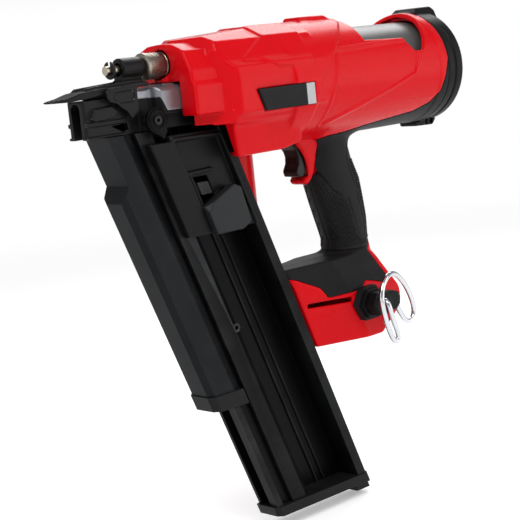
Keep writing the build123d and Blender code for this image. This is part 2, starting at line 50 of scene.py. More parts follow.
import bmesh
import bpy
import numpy as np
from mathutils import Matrix, Vector

log = logging.getLogger("nailer")
MM = 0.001  # one millimetre in metres
LEAN = math.radians(21.0)  # the magazine's lean from upright
SLOPE = math.tan(LEAN)
FAR = 1e3  # a distance outside every grid
MAGAZINE_TOP = -19.5  # level where the magazine meets the nose
NAIL_BORE = 4.95  # radius that the nail and the blade run in
NAIL_SLOT = 4.7  # half width of the way in from the magazine


# Node trees -----------------------------------------------------------------------------------------
class Wire:
    """An output socket of a node tree, with arithmetic that adds Math nodes."""

    def __init__(self, graph: "Graph", socket: bpy.types.NodeSocket) -> None:
        """Keep the tree and the socket."""
        self.graph = graph
        self.socket = socket

    def _math(self, operation: str, *values: "Wire | float") -> "Wire":
        """Add a Math node.

        Args:
            operation: Name of the operation.
            values: Its inputs in order.

        Returns:
            The node's output.
        """
        node = self.graph.node("ShaderNodeMath", {"operation": operation}, dict(enumerate(values)))
        return Wire(self.graph, node.outputs[0])

    def __add__(self, other: "Wire | float") -> "Wire":
        """Sum."""
        return self._math("ADD", self, other)

    def __radd__(self, other: float) -> "Wire":
        """Sum with a number on the left."""
        return self._math("ADD", other, self)

    def __sub__(self, other: "Wire | float") -> "Wire":
        """Difference."""
        return self._math("SUBTRACT", self, other)

    def __rsub__(self, other: float) -> "Wire":
        """Difference from a number."""
        return self._math("SUBTRACT", other, self)

    def __mul__(self, other: "Wire | float") -> "Wire":
        """Product."""
        return self._math("MULTIPLY", self, other)

    def __rmul__(self, other: float) -> "Wire":
        """Product with a number on the left."""
        return self._math("MULTIPLY", other, self)

    def size(self) -> "Wire":
        """Value without its sign."""
        return self._math("ABSOLUTE", self)

    def clamped(self) -> "Wire":
        """Value held between 0 and 1."""
        return self._math("MINIMUM", self._math("MAXIMUM", self, 0.0), 1.0)


class Graph:
    """A node tree that is built from one kind of call."""

    def __init__(self, tree: bpy.types.NodeTree) -> None:
        """Empty the tree and keep it."""
        self.tree = tree
        tree.nodes.clear()

    def node(self, kind: str, settings: dict | None = None, inputs: dict | None = None) -> bpy.types.Node:
        """Add a node.

        Args:
            kind: Node type.
            settings: Its settings; "stops" sets a ramp's positions and grey levels.
            inputs: Values or wires by socket name or number.

        Returns:
            The new node.
        """
        made = self.tree.nodes.new(kind)
        for key, value in (settings or {}).items():
            if key == "stops":
                ends = made.color_ramp.elements
                for stop, (place, level) in zip(ends, value):
                    stop.position = place
                    stop.color = (level, level, level, 1.0)
            else:
                setattr(made, key, value)
        for key, value in (inputs or {}).items():
            socket = made.inputs[key]
            if isinstance(value, Wire):
                self.tree.links.new(value.socket, socket)
            else:
                socket.default_value = value
        return made

    def wire(self, kind: str, output: str | int, settings: dict | None = None,
             inputs: dict | None = None) -> Wire:
        """Add a node and take one output.

        Args:
            kind: Node type.
            output: Output name or number.
            settings: Node settings.
            inputs: Values or wires.

        Returns:
            The chosen output.
        """
        return Wire(self, self.node(kind, settings, inputs).outputs[output])

    def number(self, colour: Wire) -> Wire:
        """Brightness of a grey colour as a value."""
        return self.wire("ShaderNodeRGBToBW", 0, None, {0: colour})


# Finishes -------------------------------------------------------------------------------------------
@dataclass(frozen=True)
class Finish:
    """A surface finish: colour, gloss, grain and rubbed edges.

    Grain sizes are in metres; bump depths too.
    """

    name: str
    colour: tuple[float, float, float]
    roughness: float
    metallic: float = 0.0
    grain: float = 0.0006
    depth: float = 0.00002
    mottle: float = 0.08
    gloss_range: float = 0.10
    wear: float = 0.25
    worn: tuple[float, float, float] = (0.5, 0.5, 0.5)
    coat: float = 0.0
    stretch: tuple[float, float, float] = (1.0, 1.0, 1.0)
    specular: float = 0.5

    def material(self) -> bpy.types.Material:
        """Build the material, or find it.

        Returns:
            The one material of this finish.
        """
        title = f"{self.name}_finish"
        found = bpy.data.materials.get(title)
        if found:
            return found
        made = bpy.data.materials.new(title)
        made.use_nodes = True
        graph = Graph(made.node_tree)
        place = graph.wire("ShaderNodeTexCoord", "Object")
        drawn = graph.wire("ShaderNodeMapping", 0, None, {"Vector": place, "Scale": self.stretch})
        fine = graph.wire("ShaderNodeTexNoise", "Fac", None,
                          {"Vector": drawn, "Scale": 1.0 / self.grain, "Detail": 3.0, "Roughness": 0.6})
        broad = graph.wire("ShaderNodeTexNoise", "Fac", None,
                           {"Vector": place, "Scale": 35.0, "Detail": 4.0, "Roughness": 0.55})
        edge = graph.wire("ShaderNodeNewGeometry", "Pointiness")
        rubbed = graph.wire("ShaderNodeValToRGB", 0, {"stops": ((0.52, 0.0), (0.60, 1.0))}, {0: edge})
        patchy = graph.wire("ShaderNodeValToRGB", 0, {"stops": ((0.35, 0.2), (0.75, 1.0))}, {0: broad})
        amount = (graph.number(rubbed) * graph.number(patchy) * self.wear).clamped()
        shade = broad * (2.0 * self.mottle) + (1.0 - self.mottle)
        tone = graph.wire("ShaderNodeCombineXYZ", 0, None, {0: shade, 1: shade, 2: shade})
        body = graph.wire("ShaderNodeVectorMath", 0, {"operation": "MULTIPLY"}, {0: self.colour, 1: tone})
        skin = graph.node("ShaderNodeMix", {"data_type": "RGBA"}, {0: amount, 6: body})
        skin.inputs[7].default_value = (*self.worn, 1.0)
        gloss = (fine * (self.gloss_range * 0.6) + broad * self.gloss_range
                 + (self.roughness - self.gloss_range * 0.8)).clamped()
        bump = graph.wire("ShaderNodeBump", 0, None,
                          {"Height": fine, "Distance": self.depth, "Strength": 1.0})
        shader = graph.wire("ShaderNodeBsdfPrincipled", 0, None, {
            "Base Color": Wire(graph, skin.outputs[2]), "Roughness": gloss, "Metallic": self.metallic,
            "Normal": bump, "Coat Weight": self.coat, "Coat Roughness": 0.18,
            "Specular IOR Level": self.specular})
        graph.node("ShaderNodeOutputMaterial", None, {"Surface": shader})
        return made


class Look(Enum):
    """The finishes of the nailer, by the part of it that wears them."""

    RED = Finish("red_moulding", (0.52, 0.0008, 0.0045), 0.28, grain=0.0005, depth=0.000010, wear=0.22,
                 worn=(0.62, 0.015, 0.025), mottle=0.05, gloss_range=0.08, specular=0.10)
    RUBBER = Finish("grip_rubber", (0.0062, 0.0062, 0.0066), 0.55, grain=0.0005, depth=0.00003, wear=0.3,
                    worn=(0.04, 0.04, 0.04), mottle=0.14, specular=0.13)
    BUMPER = Finish("bumper_rubber", (0.01, 0.01, 0.011), 0.6, grain=0.0012, depth=0.00006, wear=0.3,
                    worn=(0.05, 0.05, 0.05), mottle=0.2, specular=0.1)
    BLACK = Finish("black_moulding", (0.0045, 0.0045, 0.005), 0.42, grain=0.0006, depth=0.00002, wear=0.4,
                   worn=(0.05, 0.05, 0.052), mottle=0.12, specular=0.1)
    PAD = Finish("pad_moulding", (0.012, 0.013, 0.014), 0.45, grain=0.0006, depth=0.00003, wear=0.4,
                 worn=(0.06, 0.06, 0.062), mottle=0.12, specular=0.16)
    TRIGGER = Finish("trigger_moulding", (0.006, 0.005, 0.005), 0.32, grain=0.0008, depth=0.000008, wear=0.3,
                     worn=(0.04, 0.04, 0.04), mottle=0.08, specular=0.2)
    MAGAZINE = Finish("magazine_moulding", (0.0012, 0.0013, 0.0015), 0.4, grain=0.0007, depth=0.00002,
                      wear=0.6, worn=(0.04, 0.042, 0.045), mottle=0.16, specular=0.07)
    RAIL = Finish("anodised_rail", (0.0013, 0.0014, 0.0016), 0.38, grain=0.0004, depth=0.000006, wear=0.7,
                  worn=(0.06, 0.062, 0.066), stretch=(1.0, 1.0, 0.06), mottle=0.16, specular=0.07)
    COVER = Finish("cover_moulding", (0.0048, 0.0054, 0.0062), 0.48, grain=0.0009, depth=0.00004, wear=0.5,
                   worn=(0.05, 0.052, 0.055), mottle=0.12, specular=0.09)
    TANK = Finish("tank_coating", (0.06, 0.061, 0.06), 0.36, grain=0.0008, depth=0.00002, metallic=0.15,
                  wear=0.3, worn=(0.3, 0.3, 0.3), specular=0.35)
    CAST = Finish("die_casting", (0.24, 0.25, 0.27), 0.40, grain=0.0013, depth=0.00012, metallic=0.85,
                  wear=0.6, worn=(0.7, 0.7, 0.7), mottle=0.25)
    BRIGHT = Finish("bright_steel", (0.42, 0.37, 0.30), 0.26, grain=0.0006, depth=0.00001, metallic=1.0,
                    wear=0.4, worn=(0.7, 0.66, 0.6), stretch=(6.0, 1.0, 1.0), mottle=0.16)
    KNURL = Finish("knurled_steel", (0.24, 0.215, 0.175), 0.36, grain=0.0006, depth=0.00002, metallic=1.0,
                   wear=0.8, worn=(0.5, 0.46, 0.4), mottle=0.2)
    PHOSPHATE = Finish("black_phosphate", (0.0065, 0.006, 0.006), 0.42, grain=0.0007, depth=0.00004,
                       metallic=0.2, wear=0.9, worn=(0.10, 0.098, 0.095), mottle=0.22, specular=0.16)
    HARD = Finish("ground_steel", (0.35, 0.35, 0.36), 0.30, grain=0.0005, depth=0.00001, metallic=1.0,
                  stretch=(0.1, 1.0, 1.0), worn=(0.7, 0.7, 0.7))
    BRASS = Finish("sintered_bronze", (0.55, 0.36, 0.14), 0.38, grain=0.0004, depth=0.00003, metallic=1.0,
                   worn=(0.8, 0.6, 0.3))
    CHROME = Finish("plated_wire", (0.60, 0.62, 0.65), 0.12, grain=0.0009, depth=0.000006, metallic=1.0,
                    wear=0.2, worn=(0.8, 0.8, 0.8), mottle=0.08, gloss_range=0.05)
    # Painted highlight: light grey colour for the end facet of the black rubber bumper, standing in for the
    # light that the glossy facet catches.
    INSERT = Finish("painted_highlight_grey", (0.36, 0.36, 0.37), 0.42, grain=0.0006, depth=0.00002, wear=0.3,
                    worn=(0.6, 0.6, 0.6), specular=0.3)
    BOARD = Finish("potting_green", (0.010, 0.055, 0.025), 0.30, grain=0.0012, depth=0.00004,
                   worn=(0.1, 0.2, 0.1))


# Meshes ---------------------------------------------------------------------------------------------
def linked(name: str, data: bpy.types.ID) -> bpy.types.Object:
    """Put an object in the scene.

    Args:
        name: Object name.
        data: Its mesh, curve, camera or light.

    Returns:
        The new object.
    """
    made = bpy.data.objects.new(name, data)
    bpy.context.scene.collection.objects.link(made)
    return made


def piece_from(name: str, verts: np.ndarray | list, faces: list, look: Look,
               smooth: float) -> bpy.types.Object:
    """Make an object from points in metres.

    Args:
        name: Object name.
        verts: Points.
        faces: Lists of point numbers.
        look: Finish.
        smooth: Edges sharper than this angle in degrees stay sharp.

    Returns:
        The new object.
    """
    mesh = bpy.data.meshes.new(name)
    mesh.from_pydata([tuple(v) for v in verts], [], [tuple(f) for f in faces])
    mesh.materials.append(look.value.material())
    made = linked(name, mesh)
    shade(made, smooth)
    return made


def shade(made: bpy.types.Object, smooth: float) -> None:
    """Shade an object smooth.

    Args:
        made: The object.
        smooth: Edges sharper than this angle in degrees stay sharp.
    """
    mesh = made.data
    mesh.shade_smooth()
    mesh.set_sharp_from_angle(angle=math.radians(smooth))


def worked(made: bpy.types.Object) -> bpy.types.Mesh:
    """Copy what an object looks like through its modifiers.

    Args:
        made: Object with modifiers.

    Returns:
        A plain mesh.
    """
    graph = bpy.context.evaluated_depsgraph_get()
    return bpy.data.meshes.new_from_object(made.evaluated_get(graph), depsgraph=graph)


def settle(made: bpy.types.Object) -> None:
    """Turn an object's modifiers into its plain mesh.

    Args:
        made: Object with modifiers.
    """
    mesh = worked(made)
    made.modifiers.clear()
    old = made.data
    made.data = mesh
    mesh.name = made.name
    if old.users == 0:
        bpy.data.meshes.remove(old)


def pitch(full: float) -> float:
    """Give the grid spacing, which is always the full one.

    Args:
        full: Spacing in millimetres of the model as it is kept.

    Returns:
        The full spacing, unchanged.
    """
    return full


class Mould:
    """A grid of distances to a form in millimetres, negative inside, that is turned into a mesh."""

    def __init__(self, low: tuple, high: tuple, step: float) -> None:
        """Lay out the grid.

        Args:
            low: Lowest corner.
            high: Highest corner.
            step: Grid spacing.
        """
        self.low = np.array(low, float)
        self.step = step
        counts = np.ceil((np.array(high) - self.low) / step).astype(int) + 1
        axes = [(self.low[i] + step * np.arange(counts[i])).astype(np.float32) for i in range(3)]
        self.x, self.y, self.z = np.ix_(*axes)
        self.value = np.full(tuple(counts), FAR, np.float32)

    def folded(self) -> "Mould":
        """The same grid with its two sides laid over each other, for forms that are alike on both."""
        twin = copy.copy(self)
        twin.y = abs(self.y)
        return twin

    def slab(self, axis: str, low: float, high: float) -> np.ndarray:
        """Distance to the space between two planes across an axis."""
        along = getattr(self, axis)
        return np.maximum(low - along, along - high)

    def box(self, x: tuple, y: tuple, z: tuple) -> np.ndarray:
        """Distance to a box of (low, high) spans."""
        return np.maximum(np.maximum(self.slab("x", *x), self.slab("y", *y)), self.slab("z", *z))

    def rod(self, axis: str, centre: tuple, radius: float) -> np.ndarray:
        """Distance to an endless round bar along an axis through a point of the other two."""
        u, v = [getattr(self, name) for name in "xyz" if name != axis]
        return np.sqrt((u - centre[0]) ** 2 + (v - centre[1]) ** 2) - radius

    def outline(self, plane: str, points: list) -> np.ndarray:
        """Distance to an endless prism.

        Args:
            plane: The two axes that the outline lies in, such as "xz".
            points: Corners.

        Returns:
            Distances, negative inside.
        """
        u, v = getattr(self, plane[0]), getattr(self, plane[1])
        nearest = np.float32(FAR)
        inside = np.zeros(np.broadcast(u, v).shape, bool)
        for (au, av), (bu, bv) in zip(points, points[1:] + points[:1]):
            du, dv = bu - au, bv - av
            t = np.clip(((u - au) * du + (v - av) * dv) / (du * du + dv * dv + 1e-9), 0, 1)
            nearest = np.minimum(nearest, np.hypot(u - au - t * du, v - av - t * dv))
            spans = (av > v) != (bv > v)
            inside ^= spans & (u < (v - av) * du / (dv if dv else 1e-9) + au)
        return np.where(inside, -nearest, nearest).astype(np.float32)

    def lean(self, x: tuple, y: tuple, z: tuple) -> np.ndarray:
        """Distance to a box that leans back with the magazine.

        Args:
            x: Its (low, high) span at level 0.
            y: Its span across.
            z: Its span in height.

        Returns:
            Distances, negative inside.
        """
        level = (self.x + self.z * SLOPE) * math.cos(LEAN)
        low, high = [edge * math.cos(LEAN) for edge in x]
        sides = np.maximum(np.maximum(low - level, level - high), self.slab("y", *y))
        return np.maximum(sides, self.slab("z", *z))

    def plane(self, point: tuple, out: tuple) -> np.ndarray:
        """Distance to everything behind a plane.

        Args:
            point: A point on the plane.
            out: Direction in front of it, of any length.

        Returns:
            Distances, negative behind.
        """
        size = math.sqrt(sum(c * c for c in out))
        nx, ny, nz = [c / size for c in out]
        return (self.x - point[0]) * nx + (self.y - point[1]) * ny + (self.z - point[2]) * nz

    @staticmethod
    def join(a: np.ndarray, b: np.ndarray, fillet: float = 0.0) -> np.ndarray:
        """Unite two forms.

        Args:
            a: One form.
            b: The other.
            fillet: Size of the fillet where they meet.

        Returns:
            Distances to both together.
        """
        low = np.minimum(a, b)
        if fillet:
            low = low - np.maximum(fillet - np.abs(a - b), 0) ** 2 / (4 * fillet)
        return low

    @staticmethod
    def meet(a: np.ndarray, b: np.ndarray, rounding: float = 0.0) -> np.ndarray:
        """Common part of two forms, with its edges rounded."""
        return -Mould.join(-a, -b, rounding)

    def add(self, form: np.ndarray, fillet: float = 0.0) -> None:
        """Put a form on."""
        self.value = self.join(self.value, form, fillet)

    def cut(self, form: np.ndarray, rounding: float = 0.0) -> None:
        """Take a form away."""
        self.value = self.meet(self.value, -form, rounding)

    def soften(self, size: float) -> None:
        """Round every edge, as a worn mould does.

        Args:
            size: About the radius that the edges get.
        """
        value = np.clip(self.value, -8 * size, 8 * size)
        for _ in range(max(1, round((size / self.step) ** 2))):
            for axis in range(3):
                before = np.take(value, [0, *range(value.shape[axis] - 1)], axis)
                after = np.take(value, [*range(1, value.shape[axis]), value.shape[axis] - 1], axis)
                value = (before + 2 * value + after) * np.float32(0.25)
        self.value = value

    def skin(self) -> tuple[np.ndarray, np.ndarray]:
        """Trace the surface of the form.

        Returns:
            Points in metres, and four-sided faces that point outwards.
        """
        value = self.value.astype(np.float32).copy()
        for axis in range(3):
            for end in (0, -1):
                face = [slice(None)] * 3
                face[axis] = end
                value[tuple(face)] = np.maximum(value[tuple(face)], 0.5 * self.step)
        inside = value < 0
        shape = tuple(n - 1 for n in value.shape)
        corners = [(i, j, k) for i in (0, 1) for j in (0, 1) for k in (0, 1)]

        def window(array: np.ndarray, corner: tuple) -> np.ndarray:
            """Values at one corner of every cell."""
            return array[tuple(slice(c, c + n) for c, n in zip(corner, shape))]

        count = sum(window(inside, c).astype(np.int8) for c in corners)
        mixed = (count > 0) & (count < 8)
        cells = np.argwhere(mixed)
        number = np.full(shape, -1, np.int64)
        number[mixed] = np.arange(len(cells))
        total, hits = np.zeros((len(cells), 3)), np.zeros(len(cells))
        at = {c: window(value, c)[mixed] for c in corners}
        for a in corners:
            for axis in range(3):
                if a[axis]:
                    continue
                b = tuple(c + (i == axis) for i, c in enumerate(a))
                crossing = (at[a] < 0) != (at[b] < 0)
                share = at[a] / np.where(crossing, at[a] - at[b], 1.0)
                point = np.array(a, float) + np.outer(share, np.eye(3)[axis])
                total += np.where(crossing[:, None], point, 0.0)
                hits += crossing
        points = (self.low + self.step * (cells + total / hits[:, None])) * MM
        faces = []
        for axis in range(3):
            others = [i for i in range(3) if i != axis]
            low = [slice(1, -1)] * 3
            low[axis] = slice(0, -1)
            high = list(low)
            high[axis] = slice(1, None)
            here, there = inside[tuple(low)], inside[tuple(high)]
            for flip in (False, True):
                spots = np.argwhere((here & ~there) if not flip else (~here & there))
                spots[:, others] += 1
                ring = []
                for du, dv in ((-1, -1), (0, -1), (0, 0), (-1, 0)):
                    cell = spots.copy()
                    cell[:, others[0]] += du
                    cell[:, others[1]] += dv
                    ring.append(number[tuple(cell.T)])
                quad = np.stack(ring, 1)
                if flip != (axis == 1):
                    quad = quad[:, ::-1]
                faces.append(quad)
        return points, np.concatenate(faces)

    def cast(self, name: str, look: Look, keep: float = 1.0, smooth: float = 60.0) -> bpy.types.Object:
        """Make a piece of the form.

        Args:
            name: Object name.
            look: Finish.
            keep: Share of the faces to keep.
            smooth: Edges sharper than this stay sharp.

        Returns:
            The piece.
        """
        points, faces = self.skin()
        made = piece_from(name, points, faces.tolist(), look, 180.0)
        if keep < 1.0:
            thin = made.modifiers.new("thin", "DECIMATE")
            thin.ratio = keep
            settle(made)
        shade(made, smooth)
        log.info("%s: %d faces", name, len(made.data.polygons))
        return made


def carried(node: str, look: Look, edge: float = 0.0003) -> None:
    """Dress a CAD node that stays, and break its edges.

    Args:
        node: Node name.
        look: Finish.
        edge: Width of the broken edge in metres.
    """
    made = frame["nodes"][node]
    made.data.materials.clear()
    made.data.materials.append(look.value.material())
    weld = made.modifiers.new("weld", "WELD")
    weld.merge_threshold = 1e-6
    bevel = made.modifiers.new("edge", "BEVEL")
    bevel.width = edge
    bevel.segments = 2
    bevel.limit_method = "ANGLE"
    bevel.angle_limit = math.radians(32)
    bevel.use_clamp_overlap = True
    bevel.harden_normals = False
    made.modifiers.new("weighted", "WEIGHTED_NORMAL")
    log.info("%s carried over", node)


def place(made: bpy.types.Object, body: str, slot: str, *nodes: str) -> bpy.types.Object:
    """Put a piece on its body in place of its CAD nodes.

    Args:
        made: The piece.
        body: CAD body that it rides on.
        slot: Material slot of the record; not used.
        nodes: CAD nodes that it stands for.

    Returns:
        The piece.
    """
    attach(made, body)
    if nodes:
        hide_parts(*nodes)
    return made


# Sub-assemblies -------------------------------------------------------------------------------------
@dataclass
class Studio:
    """Camera, lights and floor."""

    lens: float = 96.91
    eye: tuple = (-0.5622, -0.7609, 0.0328)
    right: tuple = (0.7132551, -0.69365705, -0.1011538)
    up: tuple = (0.17851473, 0.04021212, 0.98323075)
    back: tuple = (-0.67777898, -0.71936468, 0.15249009)
    floor_z: float = -0.335
    floor_half: float = 9.0
    white: float = 1.0
    aim: tuple = (0.17, 0.0, -0.12)

    def build(self) -> None:
        """Make the camera, the lights, the backdrop and the floor."""
        data = bpy.data.cameras.new("camera")
        data.lens, data.sensor_width = self.lens, 36.0
        camera = linked("camera", data)
        turn = Matrix((self.right, self.up, self.back)).transposed().to_4x4()
        camera.matrix_world = Matrix.Translation(self.eye) @ turn
        data.clip_start, data.clip_end = 0.05, 50.0
        bpy.context.scene.camera = camera
        self.lamp("key", (-0.45, -0.75, 1.20), 1.0, 18.0)
        self.lamp("fill", (0.95, -1.00, 0.20), 1.0, 5.0)
        self.lamp("rim", (0.95, 0.55, 0.80), 0.8, 9.0)
        self.lamp("front", (-1.20, 0.25, 0.10), 0.8, 3.5)
        bpy.context.scene.view_settings.view_transform = "Standard"
        world = bpy.data.worlds.new("studio")
        world.use_nodes = True
        graph = Graph(world.node_tree)
        toward = graph.wire("ShaderNodeTexCoord", "Generated")
        rise = graph.wire("ShaderNodeSeparateXYZ", 2, None, {0: toward})
        level = graph.wire("ShaderNodeMapRange", 0, {"interpolation_type": "SMOOTHSTEP"}, {
            0: rise.size(), 1: 0.03, 2: 0.14, 3: self.white, 4: 0.38})
        glow = graph.wire("ShaderNodeBackground", 0, None, {"Color": (1, 1, 1, 1), "Strength": level})
        graph.node("ShaderNodeOutputWorld", None, {"Surface": glow})
        bpy.context.scene.world = world
        half, level = self.floor_half, self.floor_z
        corners = [(-half, -half, level), (half, -half, level), (half, half, level), (-half, half, level)]
        mesh = bpy.data.meshes.new("floor")
        mesh.from_pydata(corners, [], [(0, 1, 2, 3)])
        mesh.materials.append(self.pale())
        linked("floor", mesh)

    def pale(self) -> bpy.types.Material:
        """Make the floor's finish: lit near the tool, so that it takes a shadow, and an even glow far away.

        Returns:
            The material.
        """
        made = bpy.data.materials.new("pale_floor")
        made.use_nodes = True
        graph = Graph(made.node_tree)
        spot = graph.wire("ShaderNodeTexCoord", "Object")
        reach = graph.wire("ShaderNodeVectorMath", "Value", {"operation": "LENGTH"}, {0: spot})
        far = graph.wire("ShaderNodeMapRange", 0, {"interpolation_type": "SMOOTHSTEP"},
                         {0: reach, 1: 0.7, 2: 2.2, 3: 0.0, 4: 1.0})
        lit = graph.wire("ShaderNodeBsdfPrincipled", 0, None, {
            "Base Color": (0.9, 0.9, 0.9, 1), "Roughness": 0.8, "Emission Color": (1, 1, 1, 1),
            "Emission Strength": 0.3})
        even = graph.wire("ShaderNodeEmission", 0, None, {"Color": (1, 1, 1, 1), "Strength": self.white})
        both = graph.wire("ShaderNodeMixShader", 0, None, {0: far, 1: lit, 2: even})
        graph.node("ShaderNodeOutputMaterial", None, {"Surface": both})
        return made

    def lamp(self, name: str, at: tuple, size: float, power: float) -> None:
        """Hang a soft lamp that faces the tool.

        Args:
            name: Lamp name.
            at: Place.
            size: Side of its square in metres.
            power: Watts.
        """
        data = bpy.data.lights.new(name, "AREA")
        data.size, data.energy = size, power
        lamp = linked(name, data)
        aim = Vector(self.aim) - Vector(at)
        lamp.rotation_mode = "QUATERNION"
        lamp.rotation_quaternion = aim.to_track_quat("-Z", "Y")
        lamp.location = at


class Motif(Enum):
    """Small shapes that are set out in number."""

    PYRAMID = "GeometryNodeMeshCone"
    BAR = "GeometryNodeMeshCube"


@dataclass(frozen=True)
class Scatter:
    """A shape set on many points by Geometry Nodes. Sizes in metres."""

    name: str
    motif: Motif
    width: float
    length: float
    height: float

    def tree(self, look: Look) -> bpy.types.NodeTree:
        """Build the node tree.

        Args:
            look: Finish of the shapes.

        Returns:
            The tree, with inputs for the sizes.
        """
        tree = bpy.data.node_groups.new(self.name, "GeometryNodeTree")
        face = tree.interface
        face.new_socket("Points", in_out="INPUT", socket_type="NodeSocketGeometry")
        for label, value in (("Width", self.width), ("Length", self.length), ("Height", self.height)):
            face.new_socket(label, in_out="INPUT", socket_type="NodeSocketFloat").default_value = value
        face.new_socket("Shapes", in_out="OUTPUT", socket_type="NodeSocketGeometry")
        graph = Graph(tree)
        given = graph.node("NodeGroupInput")
        source, width, length, height = [Wire(graph, given.outputs[i]) for i in range(4)]
        if self.motif is Motif.PYRAMID:
            shape = graph.wire(self.motif.value, 0, None, {
                "Vertices": 4, "Radius Top": width * 0.28, "Radius Bottom": width * 0.62, "Depth": height})
        else:
            size = graph.wire("ShaderNodeCombineXYZ", 0, None, {0: length, 1: width, 2: height})
            shape = graph.wire(self.motif.value, 0, None, {"Size": size})
        facing, along = [
            graph.wire("GeometryNodeInputNamedAttribute", 0, {"data_type": "FLOAT_VECTOR"}, {"Name": label})
            for label in ("facing", "along")]
        turn = graph.wire("FunctionNodeAxesToRotation", 0, {"primary_axis": "Z", "secondary_axis": "X"},
                          {0: facing, 1: along})
        spots = graph.wire("GeometryNodeMeshToPoints", 0, None, {0: source})
        set_out = graph.wire("GeometryNodeInstanceOnPoints", 0, None,
                             {"Points": spots, "Instance": shape, "Rotation": turn})
        real = graph.wire("GeometryNodeRealizeInstances", 0, None, {0: set_out})
        dressed = graph.wire("GeometryNodeSetMaterial", 0, None,
                             {0: real, "Material": look.value.material()})
        graph.node("NodeGroupOutput", None, {0: dressed})
        return tree

    def build(self, points: list, facing: list, along: list, look: Look) -> bpy.types.Object:
        """Set the shape on the points.

        Args:
            points: Places in metres.
            facing: Outward directions.
            along: Length directions.
            look: Finish.

        Returns:
            One plain mesh object.
        """
        mesh = bpy.data.meshes.new(self.name)
        mesh.from_pydata([tuple(p) for p in points], [], [])
        for label, values in (("facing", facing), ("along", along)):
            layer = mesh.attributes.new(label, "FLOAT_VECTOR", "POINT")
            layer.data.foreach_set("vector", np.array(values, np.float32).ravel())
        made = linked(self.name, mesh)
        tree = self.tree(look)
        nodes = made.modifiers.new("set_out", "NODES")
        nodes.node_group = tree
        for item in tree.interface.items_tree:
            if item.in_out == "INPUT" and item.socket_type == "NodeSocketFloat":
                nodes[item.identifier] = getattr(self, item.name.lower())
        settle(made)
        for label in ("facing", "along"):
            if label in made.data.attributes:
                made.data.attributes.remove(made.data.attributes[label])
        log.info("%s: %d shapes", self.name, len(points))
        return made


